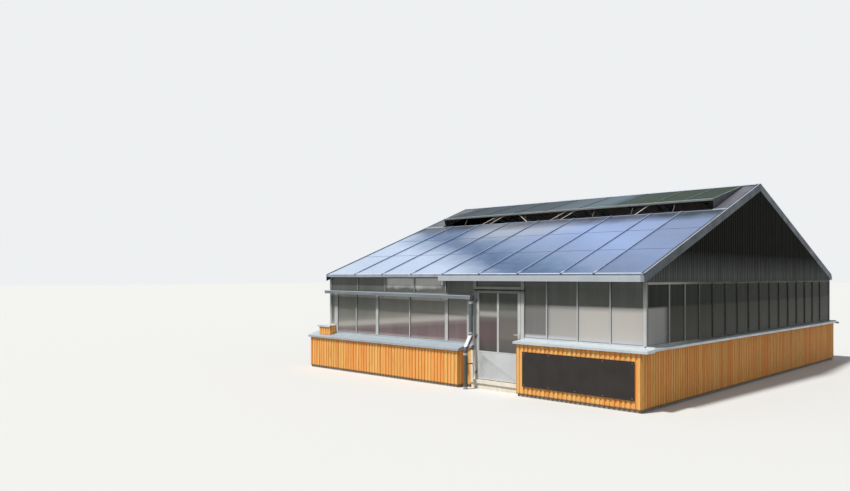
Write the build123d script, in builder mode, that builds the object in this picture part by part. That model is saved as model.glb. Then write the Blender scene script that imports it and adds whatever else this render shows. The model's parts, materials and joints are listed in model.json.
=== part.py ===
from build123d import *
from itertools import chain, repeat
from math import cos, radians, sin, tan
import os

os.makedirs("parts", exist_ok=True)

# A glass greenhouse on a clad masonry plinth, in millimetres.
# The origin is on the ground under the middle of the ridge; the front faces -Y.

# Whole house
house_width = 8960
house_depth = 11000
roof_pitch = 20.5
eave_room = 87

# Plinth and its boarding
sill_height = 1120
sill_step = 195
plinth_reach = 222
plinth_inside = 140
side_plinth_inside = 250
left_plinth_reach = 495
left_side_reach = 202
side_end_reach = 162
right_plinth_reach = 12
narrow_width = 273
floor_thickness = 190
board_thickness = 28
board_gap = 50
board_cap_gap = 8

# Sheet-metal caps
cap_thickness = 3
cap_overhang = 40
side_cap_overhang = 130
cap_fold = 42
cap_fall_low = 85
cap_fall_high = 28
cap_upstand = 30

# Glass walls
frame_depth = 60
rail_height = 40
mullion = 30
stout_post = 90
corner_post = 60
wide_post = 130
pane_thickness = 16
pane_setback = 12
least_pane = 280
clerestory_height = 335
clerestory_rail = 55
left_bays = (265, 805, 790, 1140)
left_usual_bay = 1170
end_post_inset = 170
end_post_width = 60
right_pane_pitch = 700
corner_offset = 10
gable_rail_drop = 150
gable_first_bay = 900
gable_bays = 7
back_bays = 13

# Roof, its bays counted from the right-hand verge
roof_overhang = 105
bar_width = 40
verge_bar = 50
bar_depth = 50
roof_glass = 6
roof_bays = (990, 720, 1030, 1020, 1060, 990, 1000, 1020)
usual_roof_bay = 1130
purlin_width = 50
purlin_depth = 50
purlin_rows = 3
rafter_depth = 120
rafter_width = 60
post_size = 80
apex_plate = 10
ridge_joint = 2
ridge_beam_reach = 130

# Ridge vent
vent_opening = 1880
vent_left_end = 700
vent_right_end = 330
vent_pitch = 14.2
vent_lap = 40
vent_frame = 45
vent_depth = 40
vent_ridge_gap = 12
prop_spacing = 1030
prop_width = 14
prop_foot = 35
prop_head = 60
vent_gap = 10
vent_rail = 40
ridge_cap_reach = 110

# Gables
gable_board_thickness = 20
verge_depth = 160

# Rainwater goods
gutter_wall = 3
main_gutter_bays = 5
main_gutter_height = 100
main_gutter_front = 250
main_gutter_back = 85
lower_gutter_past_post = 40
lower_gutter_lift = 2
lower_gutter_height = 72
lower_gutter_front = 180
lower_gutter_back = 60
lower_gutter_fall = 51
bracket_spacing = 1000
bracket_width = 30
bracket_depth = 8
bracket_inset = 100
pipe_radius = 45
pipe_wall = 3
pipe_inset = 45
pipe_upper_y = 100
pipe_lower_y = 280
pipe_bend_above = 180
pipe_bend_below = 90
pipe_bend_radius = 60
pipe_clearance = 24
back_pipe_inset = 580
back_bend_above = 450
back_bend_length = 250
clip_thickness = 4
clip_height = 25
clip_drop = 400
clip_play = 0.3

# Doorway, set out from the middle of the front
door_left_x = 575
door_width = 1167
door_height = 1912
door_thickness = 45
door_face = 15
door_gap = 8
door_post_left = 72
door_post_right = 78
door_stop = 15
door_clear = 6
door_head_height = 50
transom_height = 182
threshold_height = 200
threshold_reach = 60
jamb_width = 65
jamb_drop = 105
jamb_reach = 40
kerb_foot = 120
kerb_nosing = 25
stile = 62
door_mullion = 30
kick_height = 592
kick_thickness = 3
kick_swage = 12
kick_crown = 12
hinge_low = 145
hinge_high = 250
hinge_count = 3
hinge_radius = 9
hinge_pin_radius = 4
hinge_half = 40
hinge_strap = 32
hinge_strap_thickness = 4
hinge_play = 0.3
handle_lift = 992
handle_reach = 45
handle_plate_width = 30
handle_plate_height = 160
handle_plate_thickness = 6
lever_length = 120
lever_size = 18

# Sign
sign_left_margin = 170
sign_right_margin = 130
sign_bottom = 210
sign_height = 690
sign_thickness = 22

# Heights worked out from the ones above, from the low sill and the door up
low_sill_height = sill_height - sill_step
jamb_height = low_sill_height - jamb_drop
door_bottom = threshold_height + door_gap
door_top = door_bottom + door_height
head_low = door_top + door_gap
head_high = head_low + door_head_height
top_rail = head_high + transom_height
wall_top = top_rail + rail_height
eave_height = wall_top + eave_room
clerestory_sill = top_rail - clerestory_height
lower_glass_top = clerestory_sill - clerestory_rail
lower_gutter_top = clerestory_sill + lower_gutter_lift
gable_rail = wall_top - gable_rail_drop
kick_top = door_bottom + kick_height

# Places along the front and up the roof
half_width = house_width / 2
front = -house_depth / 2
rise = tan(radians(roof_pitch))
lean = cos(radians(roof_pitch))
ridge_height = eave_height + house_depth / 2 * rise
main_glazing_run = house_depth / 2 - vent_opening
vent_run = vent_opening - vent_lap
vent_left_x = -half_width + vent_left_end
vent_right_x = half_width - vent_right_end
door_right_x = door_left_x + door_width
post_left_x = door_left_x - door_gap - door_post_left
post_right_x = door_right_x + door_gap + door_post_right
opening_left, opening_right = door_left_x - door_gap, door_right_x + door_gap
left_end_post_x = post_left_x - end_post_inset
left_plinth_end = post_left_x - narrow_width
clerestory_end_x = post_left_x - mullion / 2


def set_out(length, bays, usual):
    """Distances of the posts along a length: the listed bays, then the usual one, while a pane still fits."""
    places = []
    at = 0
    for bay in chain(bays, repeat(usual)):
        at += bay
        if length - at < least_pane:
            return places
        places.append(at)


def roof_z(y, below=0):
    """Height of a plane parallel to the roof, so far below the glass, at a distance y from the ridge."""
    return ridge_height - abs(y) * rise - below / lean


def slope_at(run):
    """Distance up the front slope from the wall face, for a level run from that face."""
    return run / lean


def spans(posts):
    """Clear spans between neighbouring posts, each post being (centre, width)."""
    return [(a + wa / 2, b - wb / 2) for (a, wa), (b, wb) in zip(posts, posts[1:])]


def front_plane(y):
    """Upright plane facing the front, with its own y upwards."""
    return Plane.XZ.offset(-y)


def block(x0, x1, y0, y1, z0, z1):
    """Add a straight block between two corners."""
    with Locations(((x0 + x1) / 2, (y0 + y1) / 2, (z0 + z1) / 2)):
        Box(x1 - x0, y1 - y0, z1 - z0)


def run_along_x(points, x0, x1):
    """Add a bar of one section, given as (y, z) points, from x0 to x1."""
    with BuildSketch(Plane.YZ.offset(x0)) as section:
        with BuildLine():
            Polyline(*points, close=True)
        make_face()
    extrude(section.sketch, amount=x1 - x0)


def window_holes(boxes):
    """Cut rectangles, each (left, right, bottom, top), out of the sketch."""
    for left, right, bottom, top in boxes:
        with Locations(((left + right) / 2, (bottom + top) / 2)):
            Rectangle(right - left, top - bottom, mode=Mode.SUBTRACT)


def panes(boxes, plane, thickness):
    """Add one pane for each opening, let into the frame from its outer plane."""
    with BuildSketch(plane) as sheets:
        for left, right, bottom, top in boxes:
            with Locations(((left + right) / 2, (bottom + top) / 2)):
                Rectangle(right - left, top - bottom)
    extrude(sheets.sketch, amount=thickness)


def save(piece, name):
    """Label a finished piece and write it."""
    piece.part.label = name
    export_step(piece.part, f"parts/{name}.step")


slope = Plane(origin=(0, front, eave_height), x_dir=(1, 0, 0), z_dir=(0, -sin(radians(roof_pitch)), lean))

# Plinth: masonry with a sloping or level top, inside the boards
left_plinth_x = -half_width - left_plinth_reach
left_side_x = -half_width - left_side_reach
right_plinth_x = half_width + right_plinth_reach
inner_front = front + plinth_inside
side_inner = half_width - side_plinth_inside
low_top = low_sill_height - cap_thickness
high_top = sill_height - cap_thickness
board_face = plinth_reach + board_thickness
cap_reach = board_face + cap_overhang
low_fall = cap_fall_low / cap_reach
high_fall = cap_fall_high / cap_reach
right_board_x = post_right_x - board_thickness
block_front = front - side_end_reach

with BuildPart() as plinth_front_left:
    run_along_x([(front - plinth_reach, 0), (front, 0), (front, low_top),
                 (front - plinth_reach, low_top - plinth_reach * low_fall)], left_plinth_x, left_plinth_end)
    block(left_side_x, post_left_x, front, inner_front, 0, low_top)
save(plinth_front_left, "plinth_front_left")

with BuildPart() as plinth_front_right:
    run_along_x([(front - plinth_reach, 0), (inner_front, 0), (inner_front, high_top), (front, high_top),
                 (front - plinth_reach, high_top - plinth_reach * high_fall)], post_right_x, right_plinth_x)
save(plinth_front_right, "plinth_front_right")


def end_block(top):
    """Side view of the high wall's end standing on the low cap, up to a level top, as (y, z) points."""
    t = cap_thickness
    step = low_sill_height + cap_upstand
    return [(front, step), (front, top), (block_front, top),
            (block_front, low_sill_height - side_end_reach * low_fall),
            (front - t, low_sill_height - t * low_fall), (front - t, step)]


with BuildPart() as plinth_left:
    block(left_side_x, -side_inner, inner_front, -inner_front, 0, high_top)
    block(left_side_x, -side_inner, front, inner_front, low_top, high_top)
    run_along_x(end_block(high_top), left_side_x, -side_inner - board_thickness)
save(plinth_left, "plinth_left")

with BuildPart() as plinth_right:
    block(side_inner, right_plinth_x, inner_front, -inner_front, 0, high_top)
save(plinth_right, "plinth_right")

with BuildPart() as plinth_back:
    run_along_x([(-front + plinth_reach, 0), (-inner_front, 0), (-inner_front, high_top), (-front, high_top),
                 (-front + plinth_reach, high_top - plinth_reach * high_fall)], left_side_x, right_plinth_x)
save(plinth_back, "plinth_back")

with BuildPart() as floor_slab:
    block(-side_inner, side_inner, inner_front, -inner_front, 0, floor_thickness)
save(floor_slab, "floor_slab")

# Upright boarding on the plinth, clear of the ground and under the caps
left_board_x = left_plinth_x - board_thickness
left_side_board_x = left_side_x - board_thickness
right_end_x = right_plinth_x + board_thickness
return_board_x = left_plinth_end + board_thickness
low_board_top = low_top - board_face * low_fall - board_cap_gap
high_board_top = high_top - board_face * high_fall - board_cap_gap
narrow_board_top = low_top - board_thickness * low_fall - board_cap_gap
block_board_top = high_top - board_cap_gap

with BuildPart() as cladding_front_left:
    block(left_board_x, return_board_x, front - board_face, front - plinth_reach, board_gap, low_board_top)
    block(left_plinth_end, return_board_x, front - plinth_reach, front, board_gap, low_board_top)
    block(return_board_x, post_left_x - jamb_width, front - board_thickness, front, board_gap,
          narrow_board_top)
save(cladding_front_left, "cladding_front_left")

with BuildPart() as cladding_front_right:
    block(right_board_x, right_end_x, front - board_face, front - plinth_reach, board_gap, high_board_top)
    block(right_board_x, post_right_x, front - plinth_reach, front - door_face, board_gap, high_board_top)
save(cladding_front_right, "cladding_front_right")

with BuildPart() as cladding_sides:
    block(left_board_x, left_plinth_x, front - plinth_reach, front + board_thickness, board_gap,
          low_board_top)
    block(left_plinth_x, left_side_board_x, front, front + board_thickness, board_gap,
          low_top - board_cap_gap)
    block(left_side_board_x, left_side_x, front, -front + plinth_reach, board_gap, high_board_top)
    block(left_side_board_x, -side_inner, block_front - board_thickness, block_front,
          low_sill_height - side_end_reach * low_fall, block_board_top)
    run_along_x(end_block(block_board_top), left_side_board_x, left_side_x)
    run_along_x(end_block(block_board_top), -side_inner - board_thickness, -side_inner)
    block(right_plinth_x, right_end_x, front - plinth_reach, -front + plinth_reach, board_gap,
          high_board_top)
save(cladding_sides, "cladding_sides")

with BuildPart() as cladding_back:
    block(left_side_board_x, right_end_x, -front + plinth_reach, -front + board_face, board_gap,
          high_board_top)
save(cladding_back, "cladding_back")

# Folded sheet caps over the plinth
left_cap_x = left_board_x - cap_overhang
left_side_cap_x = left_side_board_x - cap_overhang
right_cap_x = right_end_x + side_cap_overhang
cap_step_x = return_board_x + cap_overhang
narrow_reach = board_thickness + cap_overhang
cap_back = -board_thickness - cap_overhang / 2
block_cap_front = block_front + cap_back


def cap_section(top, fall, reach, start=0):
    """Folded cap as (distance out, height) points: upstand at the glass, sloping sheet and front fold."""
    t = cap_thickness
    edge = top - fall * reach
    upstand = [(0, top - t), (0, top + cap_upstand), (t, top + cap_upstand), (t, top - fall * t)]
    plain = [(start, top - t - fall * start), (start, top - fall * start)]
    fold = [(reach, edge), (reach, edge - cap_fold), (reach - t, edge - cap_fold),
            (reach - t, edge - t + fall * t)]
    return (plain if start else upstand) + fold


def cap_end(top, fall, reach, start=0):
    """Plate that closes the end of a cap down to its front fold, as (distance out, height) points."""
    edge = top - fall * reach
    return [(start, top - fall * start), (reach, edge), (reach, edge - cap_fold), (start, edge - cap_fold)]


def outwards(points):
    """Section points laid out from the front glass."""
    return [(front - out, height) for out, height in points]


with BuildPart() as cap_front_left:
    run_along_x(outwards(cap_section(low_sill_height, low_fall, cap_reach, cap_back)), left_cap_x,
                left_side_board_x)
    run_along_x(outwards(cap_section(low_sill_height, low_fall, cap_reach)), left_side_board_x, cap_step_x)
    run_along_x(outwards(cap_section(low_sill_height, low_fall, narrow_reach)), cap_step_x, post_left_x)
    run_along_x(outwards(cap_end(low_sill_height, low_fall, cap_reach, cap_back)), left_cap_x,
                left_cap_x + cap_thickness)
    run_along_x(outwards(cap_end(low_sill_height, low_fall, cap_reach, narrow_reach - cap_thickness)),
                cap_step_x - cap_thickness, cap_step_x)
save(cap_front_left, "cap_front_left")

with BuildPart() as cap_front_right:
    run_along_x(outwards(cap_section(sill_height, high_fall, cap_reach)), post_right_x, right_cap_x)
    run_along_x(outwards(cap_section(sill_height, high_fall, cap_reach, door_face)), opening_right,
                post_right_x)
    run_along_x(outwards(cap_end(sill_height, high_fall, cap_reach)), right_cap_x - cap_thickness,
                right_cap_x)
save(cap_front_right, "cap_front_right")


def side_cap(glass_x, edge_x, y0, y1):
    """Level cap along one side, folded down at its outer edge."""
    inner = edge_x - cap_thickness if edge_x > 0 else edge_x + cap_thickness
    block(min(glass_x, edge_x), max(glass_x, edge_x), y0, y1, high_top, sill_height)
    block(min(inner, edge_x), max(inner, edge_x), y0, y1, sill_height - cap_fold, high_top)


with BuildPart() as cap_sides:
    side_cap(-half_width, left_side_cap_x, block_cap_front, -front)
    block(-half_width, -side_inner, block_cap_front, front, high_top, sill_height)
    block(left_side_cap_x, -side_inner, block_cap_front, block_cap_front + cap_thickness,
          sill_height - cap_fold, high_top)
    side_cap(half_width, right_cap_x, front, -front)
save(cap_sides, "cap_sides")

with BuildPart() as cap_back:
    run_along_x([(-front + out, height) for out, height in cap_section(sill_height, high_fall, cap_reach)],
                left_side_cap_x, right_cap_x)
save(cap_back, "cap_back")

# Glass walls: frames with their openings, and a pane in each
corner = (half_width - corner_post / 2, corner_post)
left_places = set_out(left_end_post_x + half_width, left_bays, left_usual_bay)
left_widths = [wide_post] + [stout_post if i % 2 == 0 else mullion for i in range(1, len(left_places))]
left_posts = ([(-corner[0], corner_post)]
              + [(place - half_width, width) for place, width in zip(left_places, left_widths)]
              + [(left_end_post_x, end_post_width), (clerestory_end_x, mullion)])
stout_places = [x for x, width in left_posts[1:-2] if width == stout_post]
roof_bar_x = sorted(half_width - place for place in set_out(house_width, roof_bays, usual_roof_bay))
main_gutter_left_x = roof_bar_x[-main_gutter_bays]
clerestory_posts = ([(-corner[0], corner_post)]
                    + [(x, mullion) for x in roof_bar_x if x <= main_gutter_left_x]
                    + [(clerestory_end_x, mullion)])
right_places = set_out(half_width - corner_offset - post_right_x, (), right_pane_pitch)
right_posts = ([(post_right_x, 0)]
               + [(half_width - corner_offset - place, mullion) for place in reversed(right_places)]
               + [corner])
back_pitch = (house_width - corner_post) / back_bays
back_posts = [(-corner[0] + back_pitch * i, mullion) for i in range(back_bays + 1)]
gable_pitch = (house_depth / 2 - gable_first_bay) / gable_bays
gable_half = [front + gable_first_bay + gable_pitch * i for i in range(gable_bays)]
gable_posts = ([(front + frame_depth, 0)] + [(y, mullion) for y in gable_half] + [(0, mullion)]
               + [(-y, mullion) for y in reversed(gable_half)] + [(-front - frame_depth, 0)])

lower_rail = low_sill_height + rail_height
side_rail = sill_height + rail_height
top_rail = wall_top - rail_height
lower_panes = [(a, b, side_rail if a < -side_inner else lower_rail, lower_glass_top)
               for a, b in spans(left_posts)]
clerestory_panes = [(a, b, clerestory_sill, top_rail) for a, b in spans(clerestory_posts)]
right_panes = [(a, b, side_rail, top_rail) for a, b in spans(right_posts)]
back_panes = [(a, b, side_rail, top_rail) for a, b in spans(back_posts)]
gable_panes = [(a, b, side_rail, gable_rail) for a, b in spans(gable_posts)]
clerestory_end = clerestory_end_x + mullion / 2

with BuildPart() as wall_frame_front_left:
    with BuildSketch(front_plane(front)):
        with BuildLine():
            Polyline((-half_width, high_top), (-side_inner, high_top), (-side_inner, low_top),
                     (clerestory_end, low_top), (clerestory_end, wall_top), (-half_width, wall_top),
                     close=True)
        make_face()
        window_holes(lower_panes + clerestory_panes)
    extrude(amount=-frame_depth)
save(wall_frame_front_left, "wall_frame_front_left")

with BuildPart() as wall_frame_front_right:
    with BuildSketch(front_plane(front)):
        with Locations(((post_right_x + half_width) / 2, (high_top + wall_top) / 2)):
            Rectangle(half_width - post_right_x, wall_top - high_top)
        window_holes(right_panes)
    extrude(amount=-frame_depth)
save(wall_frame_front_right, "wall_frame_front_right")

with BuildPart() as wall_frame_back:
    with BuildSketch(front_plane(-front)):
        with Locations((0, (high_top + wall_top) / 2)):
            Rectangle(house_width, wall_top - high_top)
        window_holes(back_panes)
    extrude(amount=frame_depth)
save(wall_frame_back, "wall_frame_back")


def gable_outline(low, below, y0):
    """Gable shape from a level edge up to a plane parallel to the roof, between y0 and -y0."""
    Polyline((y0, low), (-y0, low), (-y0, roof_z(y0, below)), (0, roof_z(0, below)), (y0, roof_z(y0, below)),
             close=True)


def gable_studs():
    """Cut the bays between the studs above the side glass."""
    low = gable_rail + rail_height
    for a, b in spans(gable_posts):
        with BuildLine() as bay:
            Polyline((a, low), (b, low), (b, roof_z(b, bar_depth + rail_height)),
                     (a, roof_z(a, bar_depth + rail_height)), close=True)
        make_face(bay.line.edges(), mode=Mode.SUBTRACT)


with BuildPart() as wall_frames_gable:
    with BuildSketch(Plane.YZ.offset(half_width)):
        with BuildLine():
            gable_outline(high_top, bar_depth, front + frame_depth)
        make_face()
        window_holes(gable_panes)
        gable_studs()
    extrude(amount=-frame_depth)
    mirror(about=Plane.YZ)
save(wall_frames_gable, "wall_frames_gable")

transom_panes = [(opening_left, opening_right, head_high, top_rail)]

with BuildPart() as glazing_front:
    panes(lower_panes + clerestory_panes + right_panes + transom_panes, front_plane(front + pane_setback),
          -pane_thickness)
save(glazing_front, "glazing_front")

with BuildPart() as glazing_back:
    panes(back_panes, front_plane(-front - pane_setback), pane_thickness)
save(glazing_back, "glazing_back")

with BuildPart() as glazing_gables:
    panes(gable_panes, Plane.YZ.offset(half_width - pane_setback), -pane_thickness)
    mirror(about=Plane.YZ)
save(glazing_gables, "glazing_gables")

# Steel frame: eave beams, posts, rafters, purlins and the ridge beam
post_inner = front + frame_depth + post_size
portal_x = stout_places + [post_right_x + post_size / 2]

with BuildPart() as eave_beams:
    run_along_x([(front, wall_top), (front + frame_depth, wall_top),
                 (front + frame_depth, roof_z(front + frame_depth, bar_depth)),
                 (front, roof_z(front, bar_depth))], -half_width, half_width)
    mirror(about=Plane.XZ)
save(eave_beams, "eave_beams")

rafter_top = bar_depth + purlin_depth
rafter_low = rafter_top + rafter_depth

with BuildPart() as portal_posts:
    for x in portal_x:
        foot = low_top if x < door_left_x else high_top
        run_along_x([(front + frame_depth, foot), (post_inner, foot),
                     (post_inner, roof_z(post_inner, rafter_low)),
                     (front + frame_depth, roof_z(front + frame_depth, rafter_low))],
                    x - post_size / 2, x + post_size / 2)
        run_along_x([(-front - frame_depth, high_top), (-post_inner, high_top),
                     (-post_inner, roof_z(post_inner, rafter_low)),
                     (-front - frame_depth, roof_z(front + frame_depth, rafter_low))],
                    x - post_size / 2, x + post_size / 2)
save(portal_posts, "portal_posts")

with BuildPart() as rafters:
    for x in portal_x:
        run_along_x([(front + frame_depth, roof_z(front + frame_depth, rafter_top)),
                     (-apex_plate / 2, roof_z(apex_plate / 2, rafter_top)),
                     (-apex_plate / 2, roof_z(apex_plate / 2, rafter_low)),
                     (front + frame_depth, roof_z(front + frame_depth, rafter_low))],
                    x - rafter_width / 2, x + rafter_width / 2)
    mirror(about=Plane.XZ)
save(rafters, "rafters")


def purlin(run):
    """Square bar under the glazing bars, its upper edge so far in from the wall face."""
    low, high = front + run - purlin_width, front + run
    run_along_x([(low, roof_z(low, bar_depth)), (high, roof_z(high, bar_depth)),
                 (high, roof_z(high, rafter_top)), (low, roof_z(low, rafter_top))],
                -half_width + frame_depth, half_width - frame_depth)


with BuildPart() as purlins:
    for row in range(1, purlin_rows + 1):
        purlin(main_glazing_run * row / purlin_rows)
    mirror(about=Plane.XZ)
save(purlins, "purlins")

flap_rise = tan(radians(vent_pitch))
flap_lean = cos(radians(vent_pitch))


def flap_z(y, below=0):
    """Height of a plane parallel to the open ridge vent, so far below its top face."""
    return ridge_height - abs(y) * flap_rise - below / flap_lean


with BuildPart() as ridge_beam:
    w = ridge_beam_reach
    run_along_x([(-w, roof_z(w, bar_depth)), (0, roof_z(0, bar_depth)), (w, roof_z(w, bar_depth)),
                 (w, roof_z(w, rafter_top)), (0, roof_z(0, rafter_top)), (-w, roof_z(w, rafter_top))],
                -half_width + frame_depth, half_width - frame_depth)
    t = vent_rail / 2
    run_along_x([(-t, roof_z(t, bar_depth)), (0, roof_z(0, bar_depth)), (t, roof_z(t, bar_depth)),
                 (t, flap_z(t, vent_depth)), (0, flap_z(0, vent_depth)), (-t, flap_z(t, vent_depth))],
                vent_left_x, vent_right_x)
    for x in portal_x:
        block(x - rafter_width / 2, x + rafter_width / 2, -apex_plate / 2, apex_plate / 2,
              roof_z(apex_plate / 2, rafter_low), roof_z(apex_plate / 2, bar_depth + purlin_depth / 2))
save(ridge_beam, "ridge_beam")

# Roof glazing: one ladder of bars on each slope, with a sheet of glass in each bay
bar_lines = ([(-half_width + verge_bar / 2, verge_bar)] + [(x, bar_width) for x in roof_bar_x]
             + [(half_width - verge_bar / 2, verge_bar)])
roof_low = -slope_at(roof_overhang)
roof_top = slope_at(main_glazing_run)
roof_panes = [(a, b, roof_low + rail_height, roof_top - rail_height) for a, b in spans(bar_lines)]

with BuildPart() as roof_bars:
    with BuildSketch(slope):
        with Locations((0, (roof_low + roof_top) / 2)):
            Rectangle(house_width, roof_top - roof_low)
        window_holes(roof_panes)
    extrude(amount=-bar_depth)
    mirror(about=Plane.XZ)
save(roof_bars, "roof_bars")

with BuildPart() as roof_glazing:
    panes(roof_panes, slope.offset(-roof_glass), -roof_glass)
    mirror(about=Plane.XZ)
save(roof_glazing, "roof_glazing")

# Ridge vent: closed end panels, two long flaps standing open and their props
with BuildPart() as vent_end_panels:
    with BuildSketch(slope):
        past_ridge = slope_at(house_depth / 2) + bar_depth
        for x0, x1 in ((-half_width, vent_left_x - vent_gap), (vent_right_x + vent_gap, half_width)):
            with Locations(((x0 + x1) / 2, (roof_top + past_ridge) / 2)):
                Rectangle(x1 - x0, past_ridge - roof_top)
    extrude(amount=-bar_depth)
    split(bisect_by=Plane.XZ.offset(ridge_joint / 2))
    mirror(about=Plane.XZ)
save(vent_end_panels, "vent_end_panels")

flap = Plane(origin=(0, 0, ridge_height), x_dir=(1, 0, 0),
             z_dir=(0, -sin(radians(vent_pitch)), cos(radians(vent_pitch))))
flap_bars = [(vent_left_x + vent_frame / 2, vent_frame), (vent_right_x - vent_frame / 2, vent_frame)]
flap_bars += [(x, bar_width) for x in roof_bar_x if vent_left_x + vent_frame < x < vent_right_x - vent_frame]
flap_top = -vent_ridge_gap / flap_lean
flap_low = -vent_run / flap_lean
flap_panes = [(a, b, flap_low + vent_frame, flap_top - vent_frame) for a, b in spans(sorted(flap_bars))]

with BuildPart() as vent_flap_frames:
    with BuildSketch(flap):
        with Locations(((vent_left_x + vent_right_x) / 2, (flap_low + flap_top) / 2)):
            Rectangle(vent_right_x - vent_left_x, flap_top - flap_low)
        window_holes(flap_panes)
    extrude(amount=-vent_depth)
    mirror(about=Plane.XZ)
save(vent_flap_frames, "vent_flap_frames")

with BuildPart() as vent_flap_panes:
    panes(flap_panes, flap.offset(-roof_glass), -roof_glass)
    mirror(about=Plane.XZ)
save(vent_flap_panes, "vent_flap_panes")

with BuildPart() as vent_props:
    prop_count = int((vent_right_x - vent_left_x) // prop_spacing)
    first_prop = (vent_left_x + vent_right_x - (prop_count - 1) * prop_spacing) / 2
    low = front + main_glazing_run - prop_foot
    high = -vent_run + prop_head
    for i in range(prop_count):
        x = first_prop + i * prop_spacing
        run_along_x([(low, roof_z(low)), (low + prop_width, roof_z(low + prop_width)),
                     (high + prop_width, flap_z(high + prop_width, vent_depth)),
                     (high, flap_z(high, vent_depth))],
                    x - prop_width / 2, x + prop_width / 2)
    mirror(about=Plane.XZ)
save(vent_props, "vent_props")

with BuildPart() as ridge_cap:
    w = ridge_cap_reach
    t = cap_thickness
    run_along_x([(-w, flap_z(w)), (0, flap_z(0)), (w, flap_z(w)), (w, flap_z(w, -t)), (0, flap_z(0, -t)),
                 (-w, flap_z(w, -t))], -half_width + verge_bar, half_width - verge_bar)
save(ridge_cap, "ridge_cap")

# Gable boarding above the side glass, and the verge trims over its edge
with BuildPart() as gable_boarding:
    with BuildSketch(Plane.YZ.offset(half_width)):
        with BuildLine():
            gable_outline(gable_rail + rail_height, 0, front)
        make_face()
    extrude(amount=gable_board_thickness)
    mirror(about=Plane.YZ)
save(gable_boarding, "gable_boarding")

with BuildPart() as verge_trims:
    t = cap_thickness
    board_x = half_width + gable_board_thickness
    low = front - roof_overhang
    high = -ridge_joint / 2
    run_along_x([(low, roof_z(low, -t)), (high, roof_z(high, -t)), (high, roof_z(high, verge_depth)),
                 (low, roof_z(low, verge_depth))], board_x, board_x + t)
    run_along_x([(low, roof_z(low, -t)), (high, roof_z(high, -t)), (high, roof_z(high)), (low, roof_z(low))],
                half_width - verge_bar, board_x)
    mirror(about=Plane.XZ)
    mirror(about=Plane.YZ)
save(verge_trims, "verge_trims")


# Rainwater goods
def trough(near, far, top, height, x0, length, fall=0.0):
    """Square gutter with closed ends, running along X between two distances out from the wall."""
    t = gutter_wall
    direction = (length, 0, -fall)
    section = [(front - far, top), (front - far, top - height), (front - near, top - height),
               (front - near, top), (front - near - t, top), (front - near - t, top - height + t),
               (front - far + t, top - height + t), (front - far + t, top)]
    plug = [(front - far + t, top), (front - far + t, top - height + t), (front - near - t, top - height + t),
            (front - near - t, top)]
    size = (length * length + fall * fall) ** 0.5
    with BuildSketch(Plane.YZ.offset(x0)) as channel:
        with BuildLine():
            Polyline(*section, close=True)
        make_face()
    extrude(channel.sketch, amount=size, dir=direction)
    for start in (0, size - t):
        end_plane = Plane((x0 + start * length / size, 0, -start * fall / size), (0, 1, 0), (1, 0, 0))
        with BuildSketch(end_plane) as end_plate:
            with BuildLine():
                Polyline(*plug, close=True)
            make_face()
        extrude(end_plate.sketch, amount=t, dir=direction)
    count = int(length // bracket_spacing) + 1
    for i in range(count):
        along = bracket_inset + i * (length - 2 * bracket_inset) / (count - 1)
        z = top - fall * along / length - 2 * t
        block(x0 + along - bracket_width / 2, x0 + along + bracket_width / 2, front - near, front,
              z - bracket_depth, z)


with BuildPart() as gutter_back:
    trough(main_gutter_back, main_gutter_front, wall_top, main_gutter_height, -half_width, house_width)

with BuildPart() as main_gutters:
    trough(main_gutter_back, main_gutter_front, wall_top, main_gutter_height, main_gutter_left_x,
           half_width + gable_board_thickness - main_gutter_left_x)
    add(gutter_back.part.mirror(Plane.XZ))
save(main_gutters, "main_gutters")

lower_gutter_right_x = post_left_x + lower_gutter_past_post
lower_gutter_length = lower_gutter_right_x + half_width

with BuildPart() as lower_gutter:
    trough(lower_gutter_back, lower_gutter_front, lower_gutter_top, lower_gutter_height, -half_width,
           lower_gutter_length, lower_gutter_fall)
save(lower_gutter, "lower_gutter")


def downpipe(x, upper, lower, top, bend_top, bend_low):
    """Round pipe from a gutter, cranked out over the cap, then down to the ground."""
    start = (x, front - upper, top)
    with BuildLine() as route:
        FilletPolyline(start, (x, front - upper, bend_top), (x, front - lower, bend_low),
                       (x, front - lower, 0), radius=pipe_bend_radius)
    with BuildSketch(Plane(start, x_dir=(1, 0, 0), z_dir=(0, 0, -1))) as ring:
        Circle(pipe_radius)
        Circle(pipe_radius - pipe_wall, mode=Mode.SUBTRACT)
    sweep(ring.sketch, path=route.line)


pipe_x = lower_gutter_right_x - pipe_inset
clip_z = low_sill_height - clip_drop

with BuildPart() as downpipe_front:
    fall_at_pipe = lower_gutter_fall * (pipe_x + pipe_radius + half_width) / lower_gutter_length
    downpipe(pipe_x, pipe_upper_y, pipe_lower_y, lower_gutter_top - lower_gutter_height - fall_at_pipe,
             low_sill_height + pipe_bend_above, low_sill_height - pipe_bend_below)

with BuildPart() as pipe_clip:
    with Locations((pipe_x, front - pipe_lower_y, clip_z)):
        Cylinder(pipe_radius + clip_thickness, clip_height)
    block(pipe_x - clip_height / 2, pipe_x, front - pipe_lower_y, front - jamb_reach,
          clip_z - clip_height / 2, clip_z + clip_height / 2)
    with Locations((pipe_x, front - pipe_lower_y, clip_z)):
        Cylinder(pipe_radius + clip_play, clip_height, mode=Mode.SUBTRACT)

with BuildPart() as downpipe_back:
    downpipe(half_width - back_pipe_inset, (main_gutter_front + main_gutter_back) / 2,
             cap_reach + pipe_clearance + pipe_radius, wall_top - main_gutter_height,
             sill_height + back_bend_above, sill_height + back_bend_above - back_bend_length)

with BuildPart() as downpipes:
    add(downpipe_front.part)
    add(pipe_clip.part)
    add(downpipe_back.part.mirror(Plane.XZ))
save(downpipes, "downpipes")

# Doorway: posts, head, kerb and jamb
face = front - door_face
stop_face = face + door_thickness + door_clear

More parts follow.
